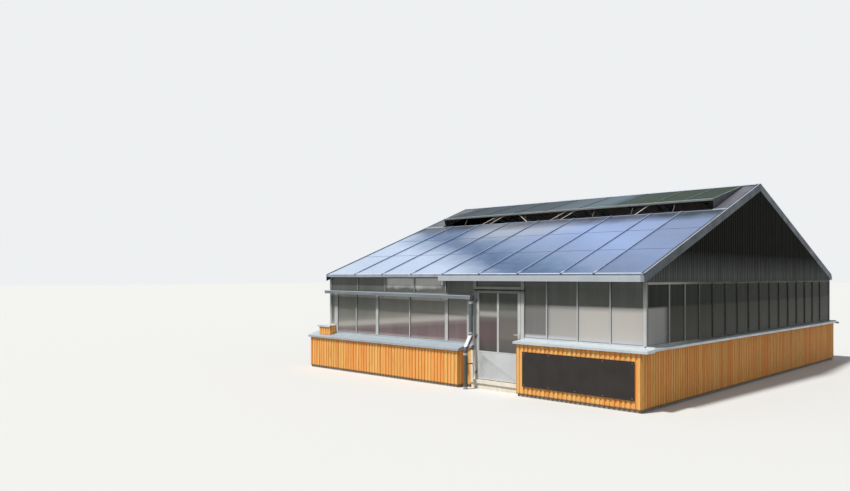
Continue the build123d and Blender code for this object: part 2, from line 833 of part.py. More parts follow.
with BuildPart() as door_posts:
    for near, away, foot in ((opening_left, post_left_x, jamb_height),
                             (opening_right, post_right_x, threshold_height)):
        towards = door_stop if near > away else -door_stop
        block(min(near, away), max(near, away), face, front + frame_depth, foot, wall_top)
        block(min(near, near + towards), max(near, near + towards), stop_face, front + frame_depth,
              threshold_height, head_low)
save(door_posts, "door_posts")

with BuildPart() as door_head:
    block(opening_left, opening_right, face, front + frame_depth, head_low, head_high)
    block(opening_left, opening_right, front, front + frame_depth, top_rail, wall_top)
    block(opening_left + door_stop, opening_right - door_stop, stop_face, front + frame_depth,
          head_low - door_stop, head_low)
save(door_head, "door_head")

with BuildPart() as door_threshold:
    block(post_left_x, right_board_x, front - threshold_reach, front - door_face, kerb_foot, threshold_height)
    block(post_left_x, right_board_x, front - threshold_reach + kerb_nosing, front - door_face, 0, kerb_foot)
    block(post_left_x, post_right_x, front - door_face, inner_front, 0, threshold_height)
save(door_threshold, "door_threshold")

with BuildPart() as door_jamb:
    block(post_left_x - jamb_width, post_left_x, front - jamb_reach, front, kerb_foot, jamb_height)
    block(post_left_x - jamb_width, post_left_x, front - jamb_reach + kerb_nosing, front, 0, kerb_foot)
    block(post_left_x, opening_left, face, front + frame_depth, threshold_height, jamb_height)
save(door_jamb, "door_jamb")

# Door leaf
middle_x = (door_left_x + door_right_x) / 2
leaf_uprights = [(door_left_x + stile / 2, stile), (middle_x, door_mullion),
                 (door_right_x - stile / 2, stile)]
leaf_holes = [(a, b, kick_top, door_top - stile) for a, b in spans(leaf_uprights)]

with BuildPart() as door_leaf_frame:
    with BuildSketch(front_plane(face)):
        with Locations((middle_x, (door_bottom + door_top) / 2)):
            Rectangle(door_width, door_height)
        window_holes(leaf_holes + [(door_left_x + stile, door_right_x - stile, door_bottom + stile,
                                    kick_top - stile)])
    extrude(amount=-door_thickness)
save(door_leaf_frame, "door_leaf_frame")

with BuildPart() as door_glazing:
    panes(leaf_holes, front_plane(face + pane_setback), -pane_thickness)
save(door_glazing, "door_glazing")

hinge_x = door_left_x - door_gap / 2
hinge_y = face - hinge_radius

kick_left = hinge_x + hinge_strap + door_gap
kick_middle = ((kick_left + door_right_x) / 2, (door_bottom + kick_top) / 2)

with BuildPart() as door_kick_panel:
    block(kick_left, door_right_x, face - kick_thickness, face, door_bottom, kick_top)
    with BuildSketch(front_plane(face - kick_thickness)):
        with Locations(kick_middle):
            Rectangle(door_right_x - kick_left, kick_height)
    with BuildSketch(front_plane(face - kick_thickness - kick_swage)):
        with Locations(kick_middle):
            Rectangle(kick_crown, kick_crown)
    loft()
save(door_kick_panel, "door_kick_panel")

with BuildPart() as door_handle:
    plate_x = door_right_x - stile / 2
    handle_z = door_bottom + handle_lift
    lever_face = face - handle_reach
    block(plate_x - handle_plate_width / 2, plate_x + handle_plate_width / 2,
          face - handle_plate_thickness, face, handle_z - handle_plate_height / 2,
          handle_z + handle_plate_height / 2)
    with Locations((plate_x, face - handle_reach / 2, handle_z)):
        Cylinder(lever_size / 2, handle_reach, rotation=(90, 0, 0))
    block(plate_x - lever_length, plate_x + lever_size / 2, lever_face - lever_size / 2,
          lever_face + lever_size / 2, handle_z - lever_size / 2, handle_z + lever_size / 2)
save(door_handle, "door_handle")

hinge_step = (door_height - hinge_low - hinge_high) / (hinge_count - 1)
hinge_heights = [door_bottom + hinge_low + hinge_step * i for i in range(hinge_count)]

with BuildPart() as door_hinges:
    for z in hinge_heights:
        with Locations((hinge_x, hinge_y, z + hinge_play / 2 + hinge_half / 2)):
            Cylinder(hinge_radius, hinge_half)
        block(hinge_x, hinge_x + hinge_strap, face - hinge_strap_thickness, face, z + hinge_play / 2,
              z + hinge_play / 2 + hinge_half)
        with Locations((hinge_x, hinge_y, z + hinge_half / 2)):
            Cylinder(hinge_pin_radius + hinge_play, hinge_half * 2, mode=Mode.SUBTRACT)
save(door_hinges, "door_hinges")

with BuildPart() as door_hinge_pins:
    for z in hinge_heights:
        with Locations((hinge_x, hinge_y, z - hinge_play / 2 - hinge_half / 2)):
            Cylinder(hinge_radius, hinge_half)
        with Locations((hinge_x, hinge_y, z)):
            Cylinder(hinge_pin_radius, hinge_half * 2 - hinge_radius)
        block(hinge_x - hinge_strap, hinge_x, face - hinge_strap_thickness, face,
              z - hinge_play / 2 - hinge_half, z - hinge_play / 2)
save(door_hinge_pins, "door_hinge_pins")

# Bare sign panel on the right-hand boarding
with BuildPart() as sign_panel:
    block(right_board_x + sign_left_margin, right_end_x - sign_right_margin,
          front - board_face - sign_thickness, front - board_face, sign_bottom, sign_bottom + sign_height)
save(sign_panel, "sign_panel")
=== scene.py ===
"""Looks of the glass greenhouse: boarding, sheet metal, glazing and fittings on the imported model."""
import json
import random
from math import atan2, cos, pi, radians, sin, tan

import bpy
from mathutils import Euler, Matrix, Vector

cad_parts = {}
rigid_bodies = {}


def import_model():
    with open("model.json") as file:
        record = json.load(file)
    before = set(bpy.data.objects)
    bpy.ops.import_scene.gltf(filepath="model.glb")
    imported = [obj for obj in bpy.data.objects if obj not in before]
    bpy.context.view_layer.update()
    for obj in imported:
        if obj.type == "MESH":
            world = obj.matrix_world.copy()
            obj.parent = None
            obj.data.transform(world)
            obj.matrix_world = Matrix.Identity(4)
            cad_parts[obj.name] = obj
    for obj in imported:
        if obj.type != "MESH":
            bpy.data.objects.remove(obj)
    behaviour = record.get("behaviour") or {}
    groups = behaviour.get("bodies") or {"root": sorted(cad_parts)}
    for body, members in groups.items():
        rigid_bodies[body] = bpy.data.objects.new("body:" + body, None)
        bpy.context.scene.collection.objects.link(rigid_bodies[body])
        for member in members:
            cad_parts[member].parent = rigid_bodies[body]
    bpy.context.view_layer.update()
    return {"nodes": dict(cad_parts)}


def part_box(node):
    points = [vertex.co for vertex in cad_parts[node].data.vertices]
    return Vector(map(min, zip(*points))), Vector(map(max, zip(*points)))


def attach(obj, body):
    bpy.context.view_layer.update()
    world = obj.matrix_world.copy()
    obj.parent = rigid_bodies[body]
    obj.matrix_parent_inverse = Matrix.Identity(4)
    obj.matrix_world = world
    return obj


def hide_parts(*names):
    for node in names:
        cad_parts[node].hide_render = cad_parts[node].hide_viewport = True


for leftover in list(bpy.data.objects):
    bpy.data.objects.remove(leftover)
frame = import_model()
chance = random.Random(11)

# The photograph's frame and the camera that fits it
image_width, image_height = 850, 491
focal_pixels = 718
horizon_row = 276.5
camera_place = (10.54, -17.32, 2.394)
camera_turn = radians(44.27)

# Sizes of the house, in metres
front_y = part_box("wall_frame_front_right")[0].y
half_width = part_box("wall_frames_gable")[1].x
ridge_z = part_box("gable_boarding")[1].z
foot_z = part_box("cladding_front_left")[0].z
eave_z = 2.487
low_sill, high_sill = 0.925, 1.12
roof_pitch, vent_pitch = radians(20.5), radians(14.2)
board_thickness = 0.028
cap_reach, cap_fold = 0.29, 0.042
low_cap_fall, high_cap_fall = 0.085, 0.028
low_cap_slope = low_cap_fall / cap_reach
door_left_x, door_right_x = 0.575, 1.742

across_house, into_house, upright = (1, 0, 0), (0, 1, 0), (0, 0, 1)
facing_front, facing_right, facing_back, facing_left = 0, pi / 2, pi, -pi / 2


# Shader building
def srgb(red, green, blue):
    """Linear colour of a paint given by its 0 to 255 values."""
    return (*[((part / 255 + 0.055) / 1.055) ** 2.4 for part in (red, green, blue)], 1)


def feed(tree, node, inputs):
    """Give a node its inputs, as values or as the outputs that feed them."""
    for name, value in inputs.items():
        if isinstance(value, bpy.types.NodeSocket):
            tree.links.new(value, node.inputs[name])
        else:
            node.inputs[name].default_value = value
    return node


def put(tree, kind, inputs=None, **settings):
    """Add a node with its settings and inputs."""
    node = tree.nodes.new(kind)
    for name, value in settings.items():
        setattr(node, name, value)
    return feed(tree, node, inputs or {})


def number(tree, operation, *values):
    """Result of an operation on numbers."""
    return put(tree, "ShaderNodeMath", dict(enumerate(values)), operation=operation).outputs[0]


def times(tree, first, second):
    """Product of two values."""
    return number(tree, "MULTIPLY", first, second)


def combine(tree, operation, first, second):
    """Result of an operation on two vectors."""
    node = put(tree, "ShaderNodeVectorMath", {0: first, 1: second}, operation=operation)
    return node.outputs["Value" if operation == "DOT_PRODUCT" else "Vector"]


def own_place(tree):
    """The shaded point in the model's own frame."""
    return put(tree, "ShaderNodeTexCoord").outputs["Object"]


def along(tree, direction):
    """Place of the shaded point along a direction, in metres."""
    return combine(tree, "DOT_PRODUCT", own_place(tree), direction)


def stretched_noise(tree, scales, scale, detail=4.0, roughness=0.55):
    """Noise on the object's own place, stretched along its axes."""
    spread = combine(tree, "MULTIPLY", own_place(tree), scales)
    return put(tree, "ShaderNodeTexNoise", {"Vector": spread, "Scale": scale, "Detail": detail,
                                            "Roughness": roughness}).outputs["Fac"]


def waver(tree, value, scale, amount):
    """Shift a value up and down by soft noise."""
    return number(tree, "MULTIPLY_ADD", stretched_noise(tree, [scale] * 3, 1.0, 3.0), amount, value)


def steps(tree, value, low, high, start=0.0, end=1.0):
    """Spread the range between two levels over another, 0 to 1 if none is given."""
    return put(tree, "ShaderNodeMapRange", {"Value": value, "From Min": low, "From Max": high,
                                            "To Min": start, "To Max": end}).outputs["Result"]


def blend_colour(tree, factor, first, second, mode="MIX"):
    """Mix two colours."""
    return put(tree, "ShaderNodeMix", {0: factor, 6: first, 7: second},
               data_type="RGBA", blend_type=mode).outputs[2]


def bands(tree, value, levels):
    """Colour by a value, as (value, colour) steps."""
    low, high = levels[0][0], levels[-1][0]
    ramp = put(tree, "ShaderNodeValToRGB", {"Fac": steps(tree, value, low, high)})
    elements = ramp.color_ramp.elements
    for index, (level, colour) in enumerate(levels):
        element = elements[index] if index < 2 else elements.new(1)
        element.position = (level - low) / (high - low)
        element.color = srgb(*colour)
    return ramp.outputs["Color"]


def bumped(tree, **inputs):
    """Unevenness as a normal."""
    return put(tree, "ShaderNodeBump", inputs).outputs[0]


# Effects that the finishes share
COLOUR, NUMBER, DIRECTION = "NodeSocketColor", "NodeSocketFloat", "NodeSocketVector"
middle_grey = srgb(180, 180, 180)


def start_group(name, inputs, outputs):
    """A new shader group with its named sockets, what it is given and its output node."""
    tree = bpy.data.node_groups.new(name, "ShaderNodeTree")
    for label, kind, value in inputs:
        tree.interface.new_socket(label, in_out="INPUT", socket_type=kind).default_value = value
    for label, kind in outputs:
        tree.interface.new_socket(label, in_out="OUTPUT", socket_type=kind)
    return tree, tree.nodes.new("NodeGroupInput").outputs, tree.nodes.new("NodeGroupOutput")


def make_stain(name, base, stain, tone, scale, amount, stretch, detail, levels):
    """Marks of a second colour where stretched noise is strong."""
    tree, given, result = start_group(
        name, [(base, COLOUR, middle_grey), (stain, COLOUR, tone), ("Scale", NUMBER, scale),
               ("Amount", NUMBER, amount)], [("Color", COLOUR), ("Mask", NUMBER)])
    marks = steps(tree, stretched_noise(tree, stretch, given["Scale"], detail), *levels)
    mask = times(tree, marks, given["Amount"])
    feed(tree, result, {"Color": blend_colour(tree, mask, given[base], given[stain]), "Mask": marks})
    return tree


def make_relief():
    """Small unevenness of a surface, as a normal."""
    tree, given, result = start_group(
        "relief", [("Scale", NUMBER, 20.0), ("Strength", NUMBER, 0.2), ("Depth", NUMBER, 0.01)],
        [("Normal", DIRECTION)])
    height = stretched_noise(tree, (1, 1, 1), given["Scale"], 6.0)
    feed(tree, result, {"Normal": bumped(tree, Strength=given["Strength"], Distance=given["Depth"],
                                         Height=height)})
    return tree


# Soft blotches, as on weathered metal and masonry, and the streaks that rain leaves down an upright face
mottle = make_stain("mottle", "Clean", "Stained", srgb(150, 150, 150), 3.0, 0.5, (1, 1, 1), 4.0,
                    (0.38, 0.66))
rain_streaks = make_stain("rain_streaks", "Color", "Streak", srgb(120, 120, 120), 9.0, 0.4,
                          (1, 1, 0.06), 3.0, (0.45, 0.75))
relief = make_relief()


def use(tree, group, **inputs):
    """Place a shared group with its own values."""
    return put(tree, "ShaderNodeGroup", inputs, node_tree=group).outputs


def start_material(name, **plain):
    """A material with its Principled shader, and the shader's plain values."""
    material = bpy.data.materials.new(name)
    material.use_nodes = True
    tree = material.node_tree
    shader = tree.nodes["Principled BSDF"]
    feed(tree, shader, {label.replace("_", " "): value for label, value in plain.items()})
    return material, tree, shader


def weather(tree, shader, tones, scales, amounts, gloss):
    """Lay blotches and then rain streaks over a colour, the gloss following the blotches."""
    clean, stained, streak = tones
    base = use(tree, mottle, Clean=clean, Stained=stained, Scale=scales[0], Amount=amounts[0])
    washed = use(tree, rain_streaks, Color=base["Color"], Streak=streak, Scale=scales[1], Amount=amounts[1])
    feed(tree, shader, {"Base Color": washed["Color"], "Roughness": steps(tree, base["Mask"], 0, 1, *gloss)})


# Weathered metal, masonry and paint
def weathered(name, clean, stained, streak, scale, gloss, blotches=0.5, streaks=0.3,
              bumps=(30.0, 0.15, 0.002), **plain):
    """A finish with blotches, rain streaks, changing gloss and slight unevenness."""
    material, tree, shader = start_material(name, **plain)
    weather(tree, shader, [srgb(*tone) for tone in (clean, stained, streak)], (scale, scale * 3),
            (blotches, streaks), gloss)
    scale, strength, depth = bumps
    feed(tree, shader, use_relief(tree, scale, strength, depth))
    return material


def use_relief(tree, scale, strength, depth):
    """The shared unevenness, as an input of a shader."""
    return {"Normal": use(tree, relief, Scale=scale, Strength=strength, Depth=depth)["Normal"]}


# Clean, stained and streak tone, scale of the blotches, range of gloss and what else differs
coat_table = {
    "plinth_masonry": ((168, 164, 156), (132, 128, 120), (104, 100, 94), 4, (0.8, 0.95),
                       dict(bumps=(60, 0.5, 0.006))),
    "floor_concrete": ((176, 172, 164), (146, 142, 134), (120, 116, 110), 1.6, (0.7, 0.9),
                       dict(streaks=0.0, bumps=(50, 0.4, 0.004))),
    "low_cap_sheet": ((174, 186, 194), (151, 163, 171), (195, 203, 208), 2.4, (0.35, 0.5),
                      dict(streaks=0.25, Metallic=0.2)),
    "folded_cap_sheet": ((210, 218, 222), (180, 189, 195), (230, 235, 238), 2.4, (0.28, 0.5),
                         dict(streaks=0.25, Metallic=0.25)),
    "wall_profile_aluminium": ((200, 203, 202), (178, 182, 181), (154, 160, 160), 3.0, (0.45, 0.6),
                               dict(Metallic=0.05, Specular_IOR_Level=0.15)),
    "roof_profile_aluminium": ((191, 200, 216), (159, 170, 185), (126, 136, 149), 2.6, (0.3, 0.5),
                               dict(Metallic=0.35)),
    "roof_bar_sheet": ((206, 214, 230), (176, 186, 204), (150, 160, 180), 2.6, (0.45, 0.6),
                       dict(Metallic=0.1, Specular_IOR_Level=0.1)),
    "lap_seal": ((96, 112, 142), (80, 94, 122), (66, 78, 104), 2.6, (0.5, 0.65),
                 dict(Specular_IOR_Level=0.1)),
    "flap_lip_sheet": ((154, 160, 155), (130, 136, 132), (106, 112, 108), 2.6, (0.4, 0.55),
                       dict(Metallic=0.1, Specular_IOR_Level=0.2)),
    "stay_steel": ((222, 208, 198), (190, 174, 164), (150, 134, 124), 9, (0.45, 0.6), dict(Metallic=0.1)),
    "prop_steel": ((84, 78, 74), (66, 62, 58), (50, 46, 44), 9, (0.5, 0.65), dict(Metallic=0.1)),
    "downpipe_zinc": ((102, 109, 112), (86, 92, 96), (120, 124, 126), 4, (0.4, 0.55),
                      dict(Metallic=0.15, Specular_IOR_Level=0.3)),
    "white_elbow": ((236, 234, 242), (212, 210, 218), (190, 188, 194), 9, (0.4, 0.55),
                    dict(Specular_IOR_Level=0.3)),
    "gutter_zinc": ((188, 196, 202), (162, 172, 180), (214, 222, 222), 1.8, (0.32, 0.55),
                    dict(streaks=0.2, Metallic=0.3)),
    "lower_gutter_zinc": ((130, 137, 144), (107, 115, 122), (94, 101, 108), 1.8, (0.35, 0.55),
                          dict(Metallic=0.35)),
    "verge_sheet": ((54, 66, 78), (42, 52, 62), (76, 88, 98), 2.0, (0.35, 0.55), dict(Metallic=0.3)),
    # Flap profiles painted dark, as painted shade below the flap lips; the flap bar caps share it
    "flap_profile_painted_shade": ((78, 86, 86), (62, 72, 68), (96, 104, 102), 2.6, (0.4, 0.55), dict(Metallic=0.2)),
    "vent_end_sheet": ((84, 84, 94), (68, 70, 78), (100, 100, 108), 2.4, (0.4, 0.55), dict(Metallic=0.2)),
    "gable_profile": ((196, 198, 188), (166, 168, 160), (142, 144, 138), 3.0, (0.45, 0.6),
                      dict(Specular_IOR_Level=0.08)),
    "galvanised_steel": ((150, 156, 158), (122, 128, 130), (100, 104, 106), 7.0, (0.4, 0.6),
                         dict(blotches=0.7, Metallic=0.5)),
    "door_profile_aluminium": ((206, 209, 206), (184, 188, 186), (162, 166, 164), 3.2, (0.42, 0.55),
                               dict(Metallic=0.05, Specular_IOR_Level=0.2)),
    "door_kick_sheet": ((214, 218, 220), (196, 200, 202), (176, 180, 182), 2.2, (0.26, 0.4),
                        dict(blotches=0.4, streaks=0.2, bumps=(5, 0.2, 0.004), Metallic=0.35)),
    "dark_hinge_steel": ((70, 72, 74), (96, 92, 88), (120, 96, 78), 18, (0.4, 0.6), dict(Metallic=0.7)),
    "brushed_handle_steel": ((216, 219, 221), (190, 194, 196), (160, 164, 166), 24, (0.22, 0.36),
                             dict(Metallic=0.5)),
    "cream_kerb": ((255, 250, 236), (236, 226, 204), (196, 178, 148), 5, (0.7, 0.88),
                   dict(bumps=(45, 0.35, 0.004))),
    "bare_sign_sheet": ((52, 47, 45), (42, 38, 37), (64, 58, 55), 3.5, (0.5, 0.68),
                        dict(blotches=0.6, streaks=0.2, bumps=(14, 0.12, 0.003), Specular_IOR_Level=0.3)),
}
coats = {name: weathered(name, *row[:-1], **row[-1]) for name, row in coat_table.items()}


# Glazing
def start_glass(name, refraction, transmission, specular):
    """A glass material with its plain values."""
    return start_material(name, Metallic=0, IOR=refraction, Transmission_Weight=transmission,
                          Specular_IOR_Level=specular)


def dusty_glass(tree, shader, colour, dust, gloss):
    """Lay faint dust over a glass colour and let the gloss follow it."""
    weather(tree, shader, (colour, srgb(*dust), srgb(*dust)), (0.9, 5.0), (0.12, 0.12), gloss)


def soft_patch(tree, across, left, right, height, top):
    """Mask of a soft-edged patch between two sides and above a height."""
    sides = times(tree, steps(tree, across, *left), steps(tree, across, *right))
    return times(tree, sides, steps(tree, height, *top))


def flutes(tree):
    """Fine upright ribs of twin-wall sheet, as a normal."""
    flat_place = combine(tree, "MULTIPLY", own_place(tree), (1, 1, 0))
    wave = put(tree, "ShaderNodeTexWave", {"Vector": flat_place, "Scale": 30}, bands_direction="DIAGONAL")
    return bumped(tree, Height=wave.outputs["Fac"], Strength=0.15, Distance=0.002)


# Painted tones of the front glazing: up the left wall, painted shade above a pale band of painted reflected
# light; across the right wall, paler pane by pane; and up the right wall's upper part, the painted shadow of
# the gutter
left_wall_tones = [(1.10, (157, 128, 133)), (1.32, (142, 121, 125)), (1.41, (173, 159, 157)),
                   (1.47, (230, 224, 218)), (1.53, (223, 217, 210)), (1.60, (175, 173, 166)),
                   (1.70, (150, 153, 143)), (1.90, (129, 132, 122)), (2.20, (94, 100, 94)),
                   (2.45, (94, 98, 94))]
right_wall_tones = [(1.8, (127, 126, 125)), (2.36, (136, 134, 132)), (2.46, (188, 186, 182)),
                    (3.02, (190, 187, 182)), (3.14, (212, 208, 203)), (4.4, (212, 208, 202))]
right_head_painted_shadow = [(1.84, (88, 93, 87)), (2.16, (66, 72, 65)), (2.22, (84, 90, 86)), (2.36, (106, 110, 108))]
# Painted light on each pane of the door, upwards: a pale band of painted reflected light and, at the top, the
# painted shadow of the gutter
door_left_tones = [(0.82, (90, 86, 88)), (1.02, (104, 90, 94)), (1.12, (116, 90, 96)), (1.42, (108, 92, 98)),
                   (1.52, (124, 118, 120)), (1.57, (190, 186, 184)), (1.62, (196, 192, 190)),
                   (1.68, (112, 110, 104)), (1.82, (86, 92, 86)), (1.9, (66, 72, 64)), (2.06, (64, 70, 64))]
door_right_tones = [(0.82, (102, 104, 108)), (1.06, (116, 112, 106)), (1.12, (134, 128, 122)),
                    (1.5, (124, 120, 116)), (1.6, (138, 140, 134)), (1.66, (138, 140, 134)),
                    (1.71, (104, 108, 102)), (1.82, (92, 98, 92)), (1.9, (62, 68, 63)), (2.06, (64, 70, 64))]
# Painted sky reflection on the roof slope, slantwise up it, and on its upper edge, across the house; painted
# reflection on the vent flaps, across the house
roof_tones = [(5.05, (187, 200, 219)), (5.75, (175, 191, 214)), (7.15, (177, 193, 217)),
              (7.5, (160, 177, 202)), (7.85, (130, 149, 176)), (8.2, (81, 106, 142)), (8.5, (70, 95, 131)),
              (9.05, (100, 124, 158)), (9.45, (121, 140, 173)), (10.15, (128, 149, 190)),
              (10.75, (138, 161, 204)), (11.6, (134, 154, 194))]
roof_head_tones = [(-3.8, (66, 74, 82)), (-2.5, (66, 71, 78)), (-1.9, (104, 106, 112)),
                   (-1.3, (132, 132, 136)), (-0.7, (112, 113, 117)), (-0.1, (94, 98, 107)),
                   (0.5, (86, 90, 99)), (1.1, (92, 95, 107)), (1.7, (79, 82, 94)), (2.9, (80, 84, 99)),
                   (4.2, (60, 68, 64))]
flap_tones = [(-3.75, (80, 88, 96)), (-0.35, (82, 92, 99)), (0.45, (99, 110, 119)), (1.6, (101, 117, 126)),
              (1.95, (74, 86, 88)), (2.45, (70, 81, 72)), (4.5, (62, 73, 64))]


def make_front_glazing():
    """Twin-wall sheet of the front with painted light: on the left wall painted shade above a slanting pale
    band of painted reflected light, and a painted reflection of a bright patch high up; paler panes towards
    the right, with the painted shadow of the gutter across their upper part; paler along the foot of both;
    dust over all.
    """
    material, tree, shader = start_glass("front_glazing", 1.45, 0.2, 0.3)
    height, across = along(tree, upright), along(tree, across_house)
    left = bands(tree, along(tree, (-0.083, 0, 1)), left_wall_tones)
    # Painted light: below the lower gutter's shadow line the left wall is painted darker, so that the shaded
    # part above it stays pale
    left = blend_colour(tree, steps(tree, height, 1.59, 1.56), left, srgb(213, 213, 213), "MULTIPLY")
    left = blend_colour(tree, steps(tree, height, 1.04, 0.97), left, srgb(186, 172, 168))
    # Painted reflection of a bright patch high on the left wall
    patch = soft_patch(tree, across, (-2.42, -2.2), (-0.42, -0.52), waver(tree, height, 3, 0.16),
                       (2.17, 2.28))
    left = blend_colour(tree, times(tree, patch, 0.84), left, srgb(255, 255, 252))
    right = bands(tree, across, right_wall_tones)
    right = blend_colour(tree, steps(tree, height, 1.245, 1.195), right, srgb(216, 214, 220))
    # Painted shadow of the gutter on the upper part of the right panes, paler towards the right
    head = bands(tree, height, right_head_painted_shadow)
    head = blend_colour(tree, steps(tree, across, 1.8, 7.0), head, srgb(116, 122, 116))
    right = blend_colour(tree, steps(tree, height, 1.81, 1.84), right, head)
    both = blend_colour(tree, steps(tree, across, 0.5, 0.56), left, right)
    dusty_glass(tree, shader, both, (190, 188, 182), (0.2, 0.27))
    feed(tree, shader, {"Normal": flutes(tree)})
    return material


def make_plain_glazing(name, head, foot):
    """Wall glazing with painted shade: a dark band under the eave above a paler lower part, painted darker
    away from the front.
    """
    material, tree, shader = start_glass(name, 1.45, 0.06, 0.01)
    height = along(tree, upright)
    far = bands(tree, height, [(1.2, (98, 99, 94)), (1.8, (78, 80, 75)), (1.86, head), (2.3, head)])
    near = bands(tree, height, [(1.2, foot), (1.8, foot), (1.85, head), (2.3, head)])
    with_painted_shade = blend_colour(tree, steps(tree, along(tree, into_house), -4.8, -4.6), near, far)
    dusty_glass(tree, shader, with_painted_shade, (120, 120, 114), (0.12, 0.3))
    return material


def make_roof_glass():
    """Blue-grey roof glass with a painted reflection of the sky: pale low on the left, a darker cloud across
    the middle, blue on the right, the right-hand pane darker, a greyer patch high in the middle and a darker
    upper edge.
    """
    material, tree, shader = start_glass("roof_glass", 1.3, 0.08, 0.03)
    height, across = along(tree, upright), along(tree, across_house)
    slant = waver(tree, along(tree, (0.58, 0, 2.675)), 0.5, 0.9)
    # Painted reflection of the sky: cloud tones slantwise up the slope, the right-hand pane darker and a
    # greyer patch high in the middle
    painted_sky = bands(tree, waver(tree, slant, 1.7, 0.5), roof_tones)
    painted_sky = blend_colour(tree, steps(tree, across, 3.4, 3.55), painted_sky, srgb(222, 222, 222), "MULTIPLY")
    patch = soft_patch(tree, across, (-2.3, -1.5), (1.6, 0.2), waver(tree, height, 2, 0.3), (3.4, 3.65))
    painted_sky = blend_colour(tree, times(tree, patch, 0.75), painted_sky, srgb(158, 165, 176))
    top = bands(tree, waver(tree, across, 1.2, 0.6), roof_head_tones)
    high = blend_colour(tree, steps(tree, waver(tree, height, 1, 0.16), 3.66, 3.84), painted_sky, top)
    dusty_glass(tree, shader, high, (150, 162, 184), (0.1, 0.25))
    return material


def make_flap_glass():
    """Dark grey-green glass of the vent flaps with painted reflection across them, and painted light on their
    undersides, which are painted pale.
    """
    material, tree, shader = start_glass("flap_glass", 1.2, 0.05, 0)
    shade = bands(tree, waver(tree, along(tree, across_house), 1.6, 0.5), flap_tones)
    facing = combine(tree, "DOT_PRODUCT", put(tree, "ShaderNodeTexCoord").outputs["Normal"], upright)
    # Painted light: the undersides of the flaps painted pale
    shade = blend_colour(tree, steps(tree, facing, 0.1, -0.1), shade, srgb(230, 218, 208))
    dusty_glass(tree, shader, shade, (98, 106, 108), (0.3, 0.45))
    return material


def make_door_glass():
    """Door glass with painted light: the painted shadow of the gutter grey-green above, a pale band of
    painted reflected light, brown-red below it in the left pane, grey-brown in the right.
    """
    material, tree, shader = start_glass("door_glass", 1.45, 0.25, 0.3)
    height = along(tree, upright)
    left, right = bands(tree, height, door_left_tones), bands(tree, height, door_right_tones)
    both = blend_colour(tree, steps(tree, along(tree, across_house), 1.15, 1.17), left, right)
    dusty_glass(tree, shader, both, (150, 150, 144), (0.08, 0.2))
    return material


# Boards, the pressed kick sheet and metal with painted shade, highlight and reflection in part
def make_boards(name, light, dark, seam, gloss, painted_shade_span, painted_shade_tone, shine):
    """Sawn boards with grain along their length, each in its own tone, with painted shade between two
    heights.
    """
    material, tree, shader = start_material(name, Specular_IOR_Level=shine)
    own = put(tree, "ShaderNodeAttribute", attribute_name="board").outputs["Fac"]
    shifted = combine(tree, "ADD", own_place(tree), times(tree, own, 40.0))
    stretched = combine(tree, "MULTIPLY", shifted, (22, 22, 1.1))
    grain = put(tree, "ShaderNodeTexNoise", {"Vector": stretched, "Scale": 1.6, "Detail": 6, "Roughness": 0.6,
                                             "Distortion": 0.8}).outputs["Fac"]
    tone = blend_colour(tree, own, srgb(*light), srgb(*dark))
    lined = blend_colour(tree, times(tree, steps(tree, grain, 0.5, 0.75), 0.55), tone, srgb(*seam))
    with_painted_shade = blend_colour(tree, steps(tree, along(tree, upright), *painted_shade_span), lined, srgb(*painted_shade_tone))
    washed = use(tree, rain_streaks, Color=with_painted_shade, Streak=srgb(*seam), Scale=6.0, Amount=0.2)
    feed(tree, shader, {"Base Color": washed["Color"],
                        "Roughness": steps(tree, grain, 0, 1, gloss - 0.1, gloss + 0.1),
                        "Normal": bumped(tree, Height=grain, Strength=0.35, Distance=0.002)})
    return material


def press_crease(material):
    """Fold pressed into the kick sheet, running down from its upper left corner."""
    tree = material.node_tree
    shader = tree.nodes["Principled BSDF"]
    profile = [(level, (grey,) * 3) for level, grey in (
        (0.47, 144), (0.65, 152), (0.8, 174), (0.9, 206), (0.985, 255), (1.1, 252), (1.49, 243))]
    fold = bands(tree, along(tree, (0.454, 0, 0.891)), profile)
    flat = shader.inputs["Normal"].links[0].from_socket
    feed(tree, shader, {"Normal": bumped(tree, Height=fold, Distance=0.03, Normal=flat)})


def paint_light_along(name, direction, *levels):
    """Multiply a metal finish by painted shade, highlight and reflection in steps along a direction."""
    tree = coats[name].node_tree
    shader = tree.nodes["Principled BSDF"]
    plain = shader.inputs["Base Color"].links[0].from_socket
    shade = bands(tree, along(tree, direction), levels)
    feed(tree, shader, {"Base Color": blend_colour(tree, 1.0, plain, shade, "MULTIPLY")})


full = (255, 255, 255)
press_crease(coats["door_kick_sheet"])
# Painted shadow of the gutters on the upper parts of the wall and door profiles, slanting with the lower
# gutter's shadow
for profile in ("wall_profile_aluminium", "door_profile_aluminium"):
    paint_light_along(profile, (-0.06, 0, 1), (1.66, full), (1.96, (196, 198, 196)))
# Painted shadow line under the door head
paint_light_along("door_profile_aluminium", upright, (2.04, full), (2.06, (214, 219, 214)), (2.09, (214, 219, 214)),
            (2.095, (84, 86, 84)), (2.122, (84, 86, 84)), (2.126, (240, 244, 240)))
# Painted shade on the gable profiles, darker towards the back
paint_light_along("gable_profile", into_house, (-4.5, full), (-3.0, (124, 126, 118)))
# Painted highlight on the roof bars along the eave, the bars darker above it
paint_light_along("roof_bar_sheet", upright, (2.49, full), (2.52, (184, 194, 209)))
# Painted warm reflection of the boards on the lower part of the downpipe
paint_light_along("downpipe_zinc", upright, (0.7, (255, 232, 200)), (0.9, full))

# Painted shade: the larch boards darker at their feet, the dark gable boards darker up towards the ridge
larch = make_boards("larch_boards", (255, 203, 118), (255, 164, 80), (190, 104, 46), 0.6,
                    (foot_z + 0.03, foot_z), (120, 80, 46), 0.3)
dark_boards = make_boards("dark_boards", (114, 117, 117), (93, 96, 96), (60, 62, 63), 0.75,
                          (2.42, 2.9), (22, 23, 18), 0.08)

